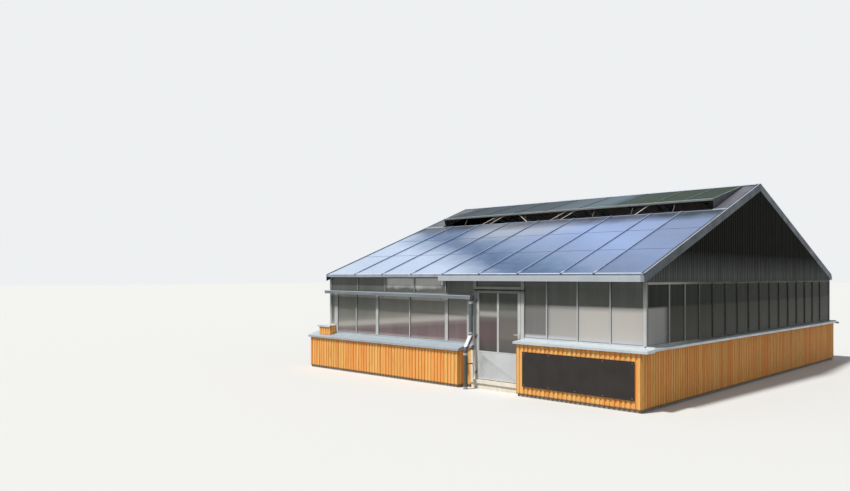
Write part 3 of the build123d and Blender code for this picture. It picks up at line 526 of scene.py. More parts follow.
# What the record's finishes look like, and the nodes that have a finish of their own
finishes = {
    "masonry": coats["plinth_masonry"], "floor_concrete": coats["floor_concrete"], "larch_boards": larch,
    "sheet_cap": coats["folded_cap_sheet"], "wall_profile": coats["wall_profile_aluminium"],
    "wall_glazing": make_front_glazing(), "dark_boarding": dark_boards,
    "steelwork": coats["galvanised_steel"],
    "roof_profile": coats["roof_profile_aluminium"], "roof_glass": make_roof_glass(),
    "verge_sheet": coats["verge_sheet"], "gutter_zinc": coats["gutter_zinc"],
    "door_profile": coats["door_profile_aluminium"], "door_sheet": coats["door_kick_sheet"],
    "door_glass": make_door_glass(), "hinge_steel": coats["dark_hinge_steel"],
    "handle_metal": coats["brushed_handle_steel"], "cream_kerb": coats["cream_kerb"],
    "sign_board": coats["bare_sign_sheet"],
}
own_finishes = {
    # Gable and back glazing with painted shade at their heads
    "glazing_gables": make_plain_glazing("gable_glazing", (46, 52, 47), (184, 186, 184)),
    "glazing_back": make_plain_glazing("back_glazing", (84, 90, 84), (150, 148, 142)),
    "vent_flap_panes": make_flap_glass(), "vent_flap_frames": coats["flap_profile_painted_shade"],
    "lower_gutter": coats["lower_gutter_zinc"], "wall_frames_gable": coats["gable_profile"],
    "vent_end_panels": coats["vent_end_sheet"], "roof_bars": coats["roof_bar_sheet"],
    "cap_front_left": coats["low_cap_sheet"], "vent_props": coats["prop_steel"],
    "downpipes": coats["downpipe_zinc"],
}
for node, cad_piece in frame["nodes"].items():
    for index, cad_finish in enumerate(list(cad_piece.data.materials)):
        cad_piece.data.materials[index] = own_finishes.get(node, finishes[cad_finish.name])


# Modelling by hand: small helpers
def alone(*pieces):
    """Select only these pieces, the first one active."""
    bpy.ops.object.select_all(action="DESELECT")
    for piece in pieces:
        piece.select_set(True)
    bpy.context.view_layer.objects.active = pieces[0]


def settle():
    """Move the place, turn and size of the new primitive into its mesh."""
    bpy.ops.object.transform_apply(location=True, rotation=True, scale=True)
    return bpy.context.object


def block(corner, opposite):
    """A cube stretched between two opposite corners."""
    low = Vector([min(pair) for pair in zip(corner, opposite)])
    high = Vector([max(pair) for pair in zip(corner, opposite)])
    bpy.ops.object.select_all(action="DESELECT")
    bpy.ops.mesh.primitive_cube_add(size=1, location=(low + high) / 2, scale=high - low)
    return settle()


def rod(start, end, radius, sides=16):
    """A cylinder between two points."""
    start, end = Vector(start), Vector(end)
    bpy.ops.object.select_all(action="DESELECT")
    bpy.ops.mesh.primitive_cylinder_add(vertices=sides, radius=radius, depth=(end - start).length,
                                        location=(start + end) / 2,
                                        rotation=(end - start).to_track_quat("Z", "Y").to_euler())
    return settle()


def soften(piece, width, segments=2):
    """Round off the sharp edges of a piece."""
    alone(piece)
    bevel = piece.modifiers.new("soft_edges", "BEVEL")
    bevel.width = width
    bevel.segments = segments
    bevel.limit_method = "ANGLE"
    bevel.angle_limit = radians(40)
    bpy.ops.object.modifier_apply(modifier=bevel.name)
    return piece


def open_whole(piece):
    """Open a piece in edit mode with all of it selected."""
    alone(piece)
    bpy.ops.object.mode_set(mode="EDIT")
    bpy.ops.mesh.select_all(action="SELECT")


def pick_faces(piece, wanted):
    """Open a piece in edit mode with only the faces selected that the test wants."""
    alone(piece)
    bpy.ops.object.mode_set(mode="EDIT")
    bpy.ops.mesh.select_mode(type="FACE")
    bpy.ops.mesh.select_all(action="DESELECT")
    bpy.ops.object.mode_set(mode="OBJECT")
    for face in piece.data.polygons:
        face.select = wanted(face)
    bpy.ops.object.mode_set(mode="EDIT")


def done():
    """Leave edit mode."""
    bpy.ops.object.mode_set(mode="OBJECT")


def points_up(face):
    """Whether a face looks upwards."""
    return face.normal.z > 0.9


def points_down(face):
    """Whether a face looks downwards."""
    return face.normal.z < -0.9


def points_out(face):
    """Whether a face looks out of the wall, forwards."""
    return face.normal.y < -0.9


def ease(piece, wanted, width, segments=1):
    """Bevel the edges of the wanted faces."""
    pick_faces(piece, wanted)
    bpy.ops.mesh.bevel(offset=width, segments=segments, affect="EDGES")
    done()
    return piece


def sink(piece, wanted, rim, shift):
    """Leave a rim round the wanted faces and move what is inside it."""
    pick_faces(piece, wanted)
    bpy.ops.mesh.inset(thickness=rim, depth=0)
    bpy.ops.transform.translate(value=shift)
    done()
    return piece


def extrude(shift):
    """Draw out what is selected."""
    bpy.ops.mesh.extrude_region_move(TRANSFORM_OT_translate={"value": shift})


def draw_out(piece, wanted, shift):
    """Draw out the wanted faces."""
    pick_faces(piece, wanted)
    extrude(shift)
    done()
    return piece


def cut_off(piece, through, normal):
    """Take away what lies in front of a plane and close the cut."""
    open_whole(piece)
    bpy.ops.mesh.bisect(plane_co=through, plane_no=normal, use_fill=True, clear_outer=True)
    done()
    return piece


def close_seams(piece):
    """Merge doubled points and turn all faces outwards."""
    open_whole(piece)
    bpy.ops.mesh.remove_doubles(threshold=0.0001)
    bpy.ops.mesh.normals_make_consistent(inside=False)
    done()
    return piece


def copy_of(piece, shift, turn=0.0, scale=(1, 1, 1)):
    """A copy with its own mesh, scaled, turned about the upright axis and moved."""
    twin = piece.copy()
    twin.data = piece.data.copy()
    bpy.context.scene.collection.objects.link(twin)
    twin.data.transform(Matrix.LocRotScale(Vector(shift), Euler((0, 0, turn)), Vector(scale)))
    return twin


def moved(piece, place):
    """A piece whose mesh is taken to its place."""
    piece.data.transform(place)
    return piece


def joined(pieces):
    """Several pieces made one."""
    alone(*pieces)
    if len(pieces) > 1:
        bpy.ops.object.join()
    return bpy.context.view_layer.objects.active


def clear_away(*templates):
    """Remove templates that have been copied."""
    for template in templates:
        bpy.data.objects.remove(template)


def finish_piece(piece, name, slot, body="root", replaces=(), coat=None):
    """Name a piece, give it its finish and let it ride on its body."""
    piece.name = name
    piece.data.name = name
    piece.data.materials.clear()
    piece.data.materials.append(coats[coat] if coat else finishes[slot])
    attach(piece, body)
    if replaces:
        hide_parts(*replaces)
    return piece


# Larch boarding: over and under boards, each sawn and tinted by itself
board_pitch = 0.1
over_width, under_width = 0.058, 0.072
half_board = board_thickness / 2
corner_play = 0.004
cap_sole = 0.0427


def board_template(width, depth, ease_width=0.003):
    """One upright board a metre tall, its outer edges eased, standing on the ground at the origin."""
    return ease(block((-width / 2, -depth, 0), (width / 2, 0, 1)), points_out, ease_width)


def tinted(piece, tone):
    """A board with its own share of the darker tone."""
    own = piece.data.attributes.new("board", "FLOAT", "POINT")
    own.data.foreach_set("value", [tone] * len(piece.data.vertices))
    return piece


over_board = board_template(over_width, half_board)
under_board = board_template(under_width, half_board)


def board_run(start, length, turn, low, high, pitch=board_pitch):
    """Boards side by side along a wall, from a corner of its inner face, low and high as heights."""
    onward = Vector((cos(turn), sin(turn), 0))
    out = Vector((sin(turn), -cos(turn), 0))
    count = max(1, round(length / pitch))
    step = length / count
    boards = []
    for i in range(count + 1):
        clear = min(1.0, *[(gaps * step + corner_play) * 2 / under_width for gaps in (i, count - i)])
        centre = min(max(i * step, under_width * clear / 2), length - under_width * clear / 2)
        boards.append((under_board, centre, 0.0, clear))
    boards += [(over_board, (i + 0.5) * step, half_board, 1.0) for i in range(count)]
    made = []
    for template, place, depth, width in boards:
        foot = low + chance.uniform(0, 0.004)
        thickness = 1 - chance.uniform(0, 0.12)
        piece = copy_of(template, Vector((*start, foot)) + onward * place + out * depth, turn,
                        (width * (1 - chance.uniform(0, 0.04)), thickness, high - foot))
        made.append(tinted(piece, chance.random() ** 1.6))
    return joined(made)


left_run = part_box("cladding_front_left")
right_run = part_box("cladding_front_right")
low_board_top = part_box("cap_front_left")[0].z + cap_sole
high_board_top = right_run[1].z
block_board_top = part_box("cladding_sides")[1].z
stub_back_top = low_sill - 0.011
board_left_x, board_front_y = left_run[0].x, left_run[0].y
board_right_x, opening_left_x = right_run[1].x, right_run[0].x
return_x = 0.25
plinth_y = board_front_y + board_thickness
plinth_left_x = board_left_x + board_thickness
plinth_right_x = board_right_x - board_thickness
wall_left_x, block_front_y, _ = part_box("plinth_left")[0]
block_right_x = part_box("plinth_left")[1].x
wall_board_x = wall_left_x - board_thickness
block_foot = low_sill - (front_y - block_front_y) * low_cap_slope
block_back_y = front_y - 0.003
block_depth = block_back_y - block_front_y

finish_piece(joined([
    board_run((board_left_x, plinth_y), return_x - board_left_x, facing_front, foot_z, low_board_top),
    board_run((return_x - board_thickness, plinth_y), front_y - plinth_y, facing_right, foot_z,
              low_board_top),
    board_run((return_x, front_y), left_run[1].x - return_x, facing_front, foot_z, left_run[1].z, 0.09),
]), "larch_boards_front_left", "larch_boards", replaces=["cladding_front_left"])
finish_piece(joined([
    board_run((opening_left_x, plinth_y), board_right_x - opening_left_x, facing_front, foot_z,
              high_board_top),
    board_run((opening_left_x + board_thickness, right_run[1].y), right_run[1].y - plinth_y, facing_left,
              foot_z, high_board_top),
]), "larch_boards_front_right", "larch_boards", replaces=["cladding_front_right"])
finish_piece(joined([
    board_run((plinth_right_x, plinth_y), -2 * plinth_y, facing_right, foot_z, high_board_top),
    board_run((wall_left_x, -plinth_y), -plinth_y - front_y, facing_left, foot_z, high_board_top),
    board_run((plinth_left_x, front_y + board_thickness), front_y + board_thickness - plinth_y, facing_left,
              foot_z, low_board_top),
    board_run((wall_board_x, front_y), wall_board_x - plinth_left_x, facing_back, foot_z, stub_back_top),
    board_run((wall_board_x, block_front_y), block_right_x - wall_board_x, facing_front, block_foot,
              block_board_top),
    cut_off(joined([
        board_run((wall_left_x, block_back_y), block_depth, facing_left, block_foot, block_board_top),
        board_run((block_right_x - board_thickness, block_front_y), block_depth, facing_right, block_foot,
                  block_board_top)]), (0, front_y, low_sill), (0, low_cap_slope, -1)),
]), "larch_boards_sides", "larch_boards", replaces=["cladding_sides"])
finish_piece(board_run((board_right_x, -plinth_y), board_right_x - wall_board_x, facing_back, foot_z,
                       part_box("cladding_back")[1].z), "larch_boards_back", "larch_boards",
             replaces=["cladding_back"])
clear_away(over_board, under_board)


# Dark boarding of the gables, upright boards cut off under the roof
def gable_boards(turn):
    """Over and under boards as high as the ridge, trimmed to both slopes."""
    low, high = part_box("gable_boarding")
    depth = (high.x - half_width) / 2
    count = round((high.y - low.y) / board_pitch)
    step = (high.y - low.y) / count
    wide = block((-step / 2, -depth, 0), (step / 2, 0, 1))
    narrow = board_template(step * 0.52, depth, 0.004)
    side = 1 if turn > 0 else -1
    made = []
    for i in range(count):
        for template, out in ((wide, 0), (narrow, depth * 0.96)):
            place = Vector((side * (half_width + out), low.y + (i + 0.5) * step, low.z))
            piece = copy_of(template, place, turn, (1, 1 - 0.04 * (i % 2), high.z - low.z))
            made.append(tinted(piece, chance.random()))
    boards = joined(made)
    for slope in (-1, 1):
        cut_off(boards, (0, 0, ridge_z), (0, slope * sin(roof_pitch), cos(roof_pitch)))
    clear_away(wide, narrow)
    return boards


finish_piece(joined([gable_boards(facing_right), gable_boards(facing_left)]), "gable_boards", "dark_boarding",
             replaces=["gable_boarding"])

# Roof and ridge vent trim, modelled flat on the slope: across, up the slope, out from the glass
roof_bays = (0.99, 0.72, 1.03, 1.02, 1.06, 0.99, 1.0, 1.02)
bar_places = [half_width - sum(roof_bays[:i + 1]) for i in range(len(roof_bays))]
vent_foot_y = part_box("vent_end_panels")[0].y
flap_low, flap_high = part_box("vent_flap_frames")
roof_foot = (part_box("roof_bars")[0].y - front_y) / cos(roof_pitch)
roof_head = (vent_foot_y - front_y) / cos(roof_pitch)
flap_foot = flap_low.y / cos(vent_pitch)
pane_rows = 3


def turned_round(back):
    """Half a turn about the upright axis for the back of the house, no turn for the front."""
    return Matrix.Rotation(pi if back else 0, 4, "Z")


def tilted(origin, pitch, back):
    """Place of something that slopes up from an origin, at the front or back of the house."""
    return turned_round(back) @ Matrix.Translation(origin) @ Matrix.Rotation(pitch, 4, "X")


def slope_frame(back):
    """Place of the front or back roof slope, its origin on the wall face at the eave."""
    return tilted((0, front_y, eave_z), roof_pitch, back)


def flap_frame(back):
    """Place of an open vent flap, its origin at the ridge."""
    return tilted((0, 0, ridge_z), vent_pitch, back)


def on_both_slopes(make, frame_of):
    """Make the pieces of a slope twice, the back ones turned round with their places kept."""
    return joined([moved(piece, frame_of(back))
                   for back in (False, True) for piece in make(-1 if back else 1)])


def capped_strip(corner, opposite, width):
    """A strip with rounded upper edges."""
    return ease(block(corner, opposite), points_up, width, 3)


def bar_caps(side):
    """Rounded cover strips over the glazing bars."""
    half, rise = 0.014, 0.021
    return [capped_strip((side * x - half, roof_foot + 0.01, 0),
                         (side * x + half, roof_head - 0.02, rise), 0.005) for x in bar_places]


def bar_stops(side):
    """Dark end stops at the feet of the bars."""
    half = 0.022
    return [soften(block((side * x - half, roof_foot - 0.012, -0.03),
                         (side * x + half, roof_foot + 0.018, 0.016)), 0.004) for x in bar_places]


def lap_strips(side):
    """Thin joint strips where one pane laps the next, one at each purlin."""
    verge, bar_clear, half = 0.05, 0.018, 0.005
    edges = [verge - half_width] + sorted(side * x for x in bar_places) + [half_width - verge]
    return [capped_strip((left + bar_clear, roof_head * row / pane_rows - half, -0.007),
                         (right - bar_clear, roof_head * row / pane_rows + half, -0.002), 0.001)
            for row in range(1, pane_rows) for left, right in zip(edges, edges[1:])]


def eave_drips(side):
    """Bright drip profile along the foot of the roof, with a lip turned down."""
    drip = block((-half_width, roof_foot - 0.01, -0.052), (half_width, roof_foot, 0.004))
    ease(drip, points_up, 0.003, 2)
    return [draw_out(drip, points_down, (0, -0.004, -0.008))]


def end_panel_feet(side):
    """Bright edge strips along the feet of the closed end panels."""
    ends = ((-half_width, flap_low.x - 0.01), (flap_high.x + 0.01, half_width))
    return [capped_strip((side * low, roof_head, 0), (side * high, roof_head + 0.035, 0.004), 0.002)
            for low, high in ends]


def flap_lips(side):
    """Angle along the lower edge of a flap, its leg hanging down."""
    leaf, shelf = 0.003, 0.045
    lip = block((side * flap_low.x, flap_foot - 0.004, -0.03), (side * flap_high.x, flap_foot + 0.002, leaf))
    draw_out(lip, points_up, (0, 0, leaf))
    return [draw_out(lip, lambda face: face.normal.y > 0.9 and face.center.z > leaf, (0, shelf, 0))]


def flap_caps(side):
    """Cover strips over the bars of a flap."""
    half, end_clear = 0.013, 0.1
    return [capped_strip((side * x - half, flap_foot + 0.05, 0), (side * x + half, -0.12, 0.008), 0.004)
            for x in bar_places if flap_low.x + end_clear < x < flap_high.x - end_clear]


def flap_cheeks(side):
    """Thin plates that close the wedge between a flap's ends and the roof."""
    wedge, half, inset = roof_pitch - vent_pitch, 0.0015, 0.006
    made = []
    for x in sorted((side * (flap_low.x + inset), side * (flap_high.x - inset))):
        plate = block((x - half, flap_foot + 0.012, flap_foot * tan(wedge)), (x + half, -0.3, -0.034))
        made.append(cut_off(plate, (0, 0, -0.008), (0, sin(wedge), -cos(wedge))))
    return made


for make, frame_of, name, slot, coat in (
        (bar_caps, slope_frame, "roof_bar_caps", "roof_profile", "roof_bar_sheet"),
        (lap_strips, slope_frame, "roof_lap_strips", "roof_profile", "lap_seal"),
        (eave_drips, slope_frame, "eave_drips", "roof_profile", None),
        (bar_stops, slope_frame, "bar_end_stops", "hinge_steel", "lower_gutter_zinc"),
        (end_panel_feet, slope_frame, "vent_end_panel_feet", "roof_profile", None),
        (flap_lips, flap_frame, "vent_flap_lips", "roof_profile", "flap_lip_sheet"),
        (flap_caps, flap_frame, "vent_flap_bar_caps", "roof_profile", "flap_profile_painted_shade"),
        (flap_cheeks, flap_frame, "vent_flap_cheeks", "roof_profile", "vent_end_sheet")):
    finish_piece(on_both_slopes(make, frame_of), name, slot, coat=coat)


# Wall trim, modelled flat on a wall: across, out, up
def wall_place(turn):
    """Place of a wall's outer face: its middle on the ground, turned to face outwards."""
    reach = -front_y if turn in (facing_front, facing_back) else half_width
    return Matrix.Rotation(turn, 4, "Z") @ Matrix.Translation((0, -reach, 0))


def spans(posts):
    """Clear spans between neighbouring posts, a post being given by its middle and width."""
    return [(a + wa / 2, b - wb / 2) for (a, wa), (b, wb) in zip(posts, posts[1:])]


slim, corner, stout, wide = 0.03, 0.06, 0.09, 0.13
sill_low, sill_high = low_sill + 0.04, high_sill + 0.04
glass_head, lower_head, upper_foot, gable_head = 2.36, 1.97, 2.025, 2.25
narrow_pane_post, first_gable_bay, sheet_width = 0.48, 0.9, 0.7
block_edge_x = -4.2
left_bays = (0.265, 0.805, 0.79, 1.14, 1.17)
left_middles = [sum(left_bays[:i + 1]) - half_width for i in range(len(left_bays))]
left_corner_post = (corner / 2 - half_width, corner)
lower_posts = ([left_corner_post] + list(zip(left_middles, (wide, slim, stout, slim, stout)))
               + [(0.325, corner), (narrow_pane_post, slim)])
upper_posts = ([left_corner_post] + [(x, slim) for x in sorted(bar_places) if x < 0]
               + [(narrow_pane_post, slim)])
right_posts = ([(1.828, 0)] + [(half_width - 0.01 - sheet_width * i, slim) for i in (3, 2, 1)]
               + [(half_width - corner / 2, corner)])
back_pitch = (2 * half_width - corner) / 13
back_posts = [(corner / 2 - half_width + back_pitch * i, slim) for i in range(14)]
gable_pitch = (-front_y - first_gable_bay) / 7
gable_middles = [front_y + first_gable_bay + gable_pitch * i for i in range(7)]
gable_posts = ([(front_y + corner, 0)] + [(y, slim) for y in gable_middles] + [(0, slim)]
               + [(-y, slim) for y in reversed(gable_middles)] + [(-front_y - corner, 0)])
wall_bands = [
    (facing_front, lower_posts, sill_low, lower_head - 0.02),
    (facing_front, upper_posts, upper_foot, glass_head),
    (facing_front, right_posts, sill_high, glass_head),
    (facing_right, gable_posts, sill_high, gable_head),
    (facing_left, gable_posts, sill_high, gable_head),
    (facing_back, back_posts, sill_high, glass_head),
]


def cover_strip(middle, width, low, high):
    """Clamping strip over a mullion, with a groove down its middle."""
    strip = block((middle - width / 2, -0.008, low), (middle + width / 2, 0, high))
    return sink(strip, points_out, width * 0.28, (0, 0.004, 0))


def button_screw(radius, depth):
    """Domed screw head at the origin, facing out of a wall."""
    return ease(rod((0, -depth, 0), (0, 0, 0), radius, 10), points_out, depth * 0.6, 2)


def gasket(left, right, low, high, width, out, back):
    """A flat ring round a pane."""
    ring = block((left, out, low), (right, back, high))
    pick_faces(ring, lambda face: abs(face.normal.y) > 0.9)
    bpy.ops.mesh.inset(thickness=width, depth=0)
    bpy.ops.mesh.bridge_edge_loops()
    done()
    return ring


strips, gable_strips, screws, gaskets, corners, seals = [], [], [], [], [], []
screw = button_screw(0.006, 0.004)
screw_pitch, screw_inset = 0.4, 0.06
for turn, posts, low, high in wall_bands:
    place = wall_place(turn)
    for middle, width in posts[1:-1]:
        strip = cover_strip(middle, width, sill_high if width == wide else low, high)
        (gable_strips if posts is gable_posts else strips).append(moved(strip, place))
        rows = max(2, round((high - low) / screw_pitch))
        for i in range(rows):
            height = low + screw_inset + (high - low - 2 * screw_inset) * i / (rows - 1)
            screws.append(moved(copy_of(screw, (middle, -0.004, height)), place))
    for left, right in spans(posts):
        top = lower_head if posts is lower_posts else high
        foot = sill_high if right < block_edge_x and posts is lower_posts else low
        gaskets.append(moved(gasket(left, right, foot, top, 0.006, 0.007, 0.012), place))

# Corner angles and the dark seal beside each corner
angle_leg, angle_thickness, angle_foot, angle_head = 0.03, 0.003, sill_high - 0.03, 2.39
seal_inner, seal_outer, seal_thickness, seal_head = 0.044, 0.062, 0.004, 2.27
corner_screw_heights = (1.37, 1.67, 1.97, 2.27)
for turn in (facing_front, facing_back):
    place = wall_place(turn)
    for side in (-1, 1):
        x = side * half_width
        angle = block((x, -angle_thickness, angle_foot), (x - side * angle_leg, 0, angle_head))
        wing = block((x, -angle_thickness, angle_foot), (x + side * angle_thickness, angle_leg, angle_head))
        seal = soften(block((x, seal_inner, angle_foot),
                            (x + side * seal_thickness, seal_outer, seal_head)), 0.0015)
        corners += [moved(angle, place), moved(wing, place)]
        seals.append(moved(seal, place))
        for height in corner_screw_heights:
            screws.append(moved(copy_of(screw, (x - side * angle_leg / 2, -0.003, height)), place))
finish_piece(joined(strips), "wall_cover_strips", "wall_profile")
finish_piece(joined(gable_strips), "gable_cover_strips", "wall_profile", coat="gable_profile")
finish_piece(joined(gaskets), "pane_gaskets", "hinge_steel")
finish_piece(joined(corners), "corner_angles", "wall_profile")
finish_piece(joined(seals), "corner_seals", "hinge_steel")

# Sheet-metal caps: joint covers and the rolled hem of each fold
joint_half, joint_rise = 0.013, 0.0035


def cap_joint(x, top, fall):
    """Raised joint across a sloping cap, carried down over its fold."""
    slope = Matrix.Translation((0, 0, top)) @ Matrix.Rotation(atan2(fall, cap_reach), 4, "X")
    cover = moved(block((x - joint_half, -cap_reach, 0), (x + joint_half, 0, joint_rise)), slope)
    fold = block((x - joint_half, -cap_reach - 0.003, top - fall - cap_fold),
                 (x + joint_half, -cap_reach, top - fall + 0.003))
    return [soften(cover, 0.0012, 1), soften(fold, 0.0012, 1)]


cap_parts = []
for turn, places, top, fall in (
        (facing_front, (-3.6, -1.7), low_sill, low_cap_fall),
        (facing_front, (3.1,), high_sill, high_cap_fall),
        (facing_back, (-3.3, -1.2, 0.9, 3.0), high_sill, high_cap_fall)):
    cap_parts += [moved(piece, wall_place(turn)) for x in places for piece in cap_joint(x, top, fall)]
for turn, reach in ((facing_right, 0.17), (facing_left, 0.27)):
    for y in (-3.9, -1.9, 0.1, 2.1, 4.1):
        cover = block((y - joint_half, -reach + 0.002, high_sill),
                      (y + joint_half, 0, high_sill + joint_rise))
        cap_parts.append(moved(soften(cover, 0.0012, 1), wall_place(turn)))
hem = 0.005
low_hem_z = low_sill - low_cap_fall - cap_fold
high_hem_z = high_sill - high_cap_fall - cap_fold
side_hem_z = high_sill - cap_fold
hem_y = front_y - cap_reach + hem
low_hem_x, left_hem_x, right_hem_x = hem - 5.043, hem - 4.75, 4.65 - hem
block_hem_y, side_hem_end = hem - 5.71, 5.5
for start, end in (((low_hem_x, hem_y, low_hem_z), (0.29, hem_y, low_hem_z)),
                   ((1.75, hem_y, high_hem_z), (right_hem_x, hem_y, high_hem_z)),
                   ((right_hem_x, -5.78, side_hem_z), (right_hem_x, side_hem_end, side_hem_z)),
                   ((left_hem_x, -5.71, side_hem_z), (left_hem_x, side_hem_end, side_hem_z)),
                   ((left_hem_x, block_hem_y, side_hem_z), (-4.23, block_hem_y, side_hem_z)),
                   ((left_hem_x, -hem_y, high_hem_z), (right_hem_x, -hem_y, high_hem_z))):
    cap_parts.append(rod(start, end, hem, 8))
finish_piece(joined(cap_parts), "cap_joints_and_hems", "sheet_cap")

# Rainwater goods: beads, straps, collars and the outlet
gutter_low, gutter_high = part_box("main_gutters")
channel_low, channel_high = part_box("lower_gutter")
main_left_x = sorted(bar_places)[3]
channel_fall, bead = 0.051, 0.009
strap_half, strap_rise, strap_count = 0.012, 0.003, 5
outlet_top, outlet_length, outlet_radius = 2.301, 0.101, 0.03
main_bead_y, channel_bead_y = gutter_low.y + bead, channel_low.y + bead
pipe_x, pipe_upper_y, pipe_lower_y = 0.49, front_y - 0.1, front_y - 0.28
back_pipe_x, back_upper_y, back_lower_y = half_width - 0.58, -front_y + 0.1638, -front_y + 0.3548
ring_radius, elbow_radius = 0.0489, 0.0465


def strap(x, half, low, high):
    """Flat strap across a gutter, its ends given by place and height."""
    return soften(block((x - half, *low), (x + half, *high)), 0.001, 1)


def gutter_outlet():
    """Short spout under the main gutter, hollow from below."""
    x, y = main_left_x + 0.06, front_y - 0.17
    spout = rod((x, y, outlet_top - outlet_length), (x, y, outlet_top), outlet_radius, 20)
    return sink(spout, points_down, 0.004, (0, 0, 0.08))


gutter_parts = [
    rod((main_left_x, main_bead_y, gutter_high.z), (gutter_high.x, main_bead_y, gutter_high.z), bead, 12),
    rod((-half_width, -main_bead_y, gutter_high.z), (half_width, -main_bead_y, gutter_high.z), bead, 12),
    rod((channel_low.x, channel_bead_y, channel_high.z),
        (channel_high.x, channel_bead_y, channel_high.z - channel_fall), bead, 12),
]
for i in range(strap_count):
    gutter_parts.append(strap(main_left_x + 0.5 + 1.08 * i, strap_half, (gutter_low.y, gutter_high.z),
                              (front_y - 0.09, gutter_high.z + strap_rise)))
for i in range(strap_count):
    x = -half_width + 0.4 + 1.05 * i
    z = channel_high.z - channel_fall * (x - channel_low.x) / (channel_high.x - channel_low.x)
    gutter_parts.append(strap(x, strap_half, (channel_low.y, z), (front_y - 0.06, z + strap_rise)))
gutter_parts.append(strap(1.9, 0.03, (gutter_low.y - 0.002, gutter_low.z - 0.001),
                          (gutter_low.y, gutter_high.z)))
gutter_parts.append(gutter_outlet())
# Collars round the downpipes
for x, y, low, high in ((pipe_x, pipe_upper_y, 1.16, 1.2), (pipe_x, pipe_lower_y, 0.72, 0.765),
                        (pipe_x, pipe_upper_y, 1.81, 1.86), (pipe_x, pipe_lower_y, 0.012, 0.05),
                        (back_pipe_x, back_upper_y, 1.63, 1.67), (back_pipe_x, back_lower_y, 1.25, 1.29),
                        (back_pipe_x, back_lower_y, 0.012, 0.05)):
    gutter_parts.append(soften(rod((x, y, low), (x, y, high), ring_radius, 24), 0.003))
finish_piece(joined(gutter_parts), "gutter_beads_and_collars", "gutter_zinc")


def pipe_elbow():
    """Pale swan neck sleeved over the bend of the front downpipe, drawn from a ring by spins."""
    top, upper_bend, lower_bend, foot, reach = 1.175, 1.105, 0.835, 0.755, 0.06
    drop = Vector((0, pipe_lower_y - pipe_upper_y, lower_bend - upper_bend))
    bend = atan2(-drop.y, -drop.z)
    run_in = reach * tan(bend / 2)
    bpy.ops.object.select_all(action="DESELECT")
    bpy.ops.mesh.primitive_circle_add(vertices=24, radius=elbow_radius, location=(pipe_x, pipe_upper_y, top))
    neck = settle()
    open_whole(neck)
    extrude((0, 0, upper_bend + run_in - top))
    bpy.ops.mesh.spin(steps=6, angle=-bend, center=(pipe_x, pipe_upper_y - reach, upper_bend + run_in),
                      axis=(1, 0, 0))
    extrude(drop.normalized() * (drop.length - 2 * run_in))
    bpy.ops.mesh.spin(steps=6, angle=bend, center=(pipe_x, pipe_lower_y + reach, lower_bend - run_in),
                      axis=(1, 0, 0))
    extrude((0, 0, foot - (lower_bend - run_in)))
    done()
    close_seams(neck)
    shell = neck.modifiers.new("wall", "SOLIDIFY")
    shell.thickness = 0.0025
    bpy.ops.object.modifier_apply(modifier=shell.name)
    bpy.ops.object.shade_smooth_by_angle(angle=radians(40))
    return neck


finish_piece(pipe_elbow(), "downpipe_elbow", "gutter_zinc", coat="white_elbow")

# Verges: bright upper edge
verge_head = (0.001 - front_y) / cos(roof_pitch) - 0.016
finish_piece(joined([
    moved(capped_strip((side * (half_width + 0.006), roof_foot, 0.003),
                       (side * (half_width + 0.0235), verge_head, 0.009), 0.002), slope_frame(back))
    for back in (False, True) for side in (-1, 1)]), "verge_edges", "roof_profile")

# Sign sheet: turned edge and its screws, nothing on its face
low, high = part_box("sign_panel")
plate = soften(block(low, high), 0.003)
sink(plate, lambda face: points_out(face) and face.area > 1, 0.012, (0, 0.003, 0))
finish_piece(plate, "bare_sign_plate", "sign_board", replaces=["sign_panel"])
edge, rim, screw_gaps = 0.04, 0.035, 4
for i in range(screw_gaps + 1):
    for z in (low.z + rim, high.z - rim):
        screws.append(copy_of(screw, (low.x + edge + (high.x - low.x - 2 * edge) * i / screw_gaps,
                                      low.y + 0.003, z)))
finish_piece(joined(screws), "wall_screws", "handle_metal")

# Door leaf: glazing beads, drip bar, hinge screws and the lever
leaf_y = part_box("door_leaf_frame")[0].y
glass_low, glass_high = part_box("door_glazing")
kick_low, kick_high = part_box("door_kick_panel")
bar_left_x, bar_right_x = [(door_left_x + door_right_x) / 2 + half for half in (-0.015, 0.015)]
finish_piece(joined([
    gasket(left, right, glass_low.z, glass_high.z, 0.012, leaf_y + 0.002, leaf_y + 0.0118)
    for left, right in ((glass_low.x, bar_left_x), (bar_right_x, glass_high.x))]),
    "door_glazing_beads", "door_profile", body="door_leaf")
drip = ease(block((kick_low.x, kick_low.y - 0.012, kick_low.z + 0.006),
                  (kick_high.x - 0.004, kick_low.y + 0.008, kick_low.z + 0.024)), points_out, 0.006, 2)
top_bar = soften(block((kick_low.x, leaf_y - 0.006, kick_high.z - 0.014), (kick_high.x, leaf_y, kick_high.z)),
                 0.002)
finish_piece(joined([drip, top_bar]), "door_drip_and_top_bar", "door_profile", body="door_leaf")


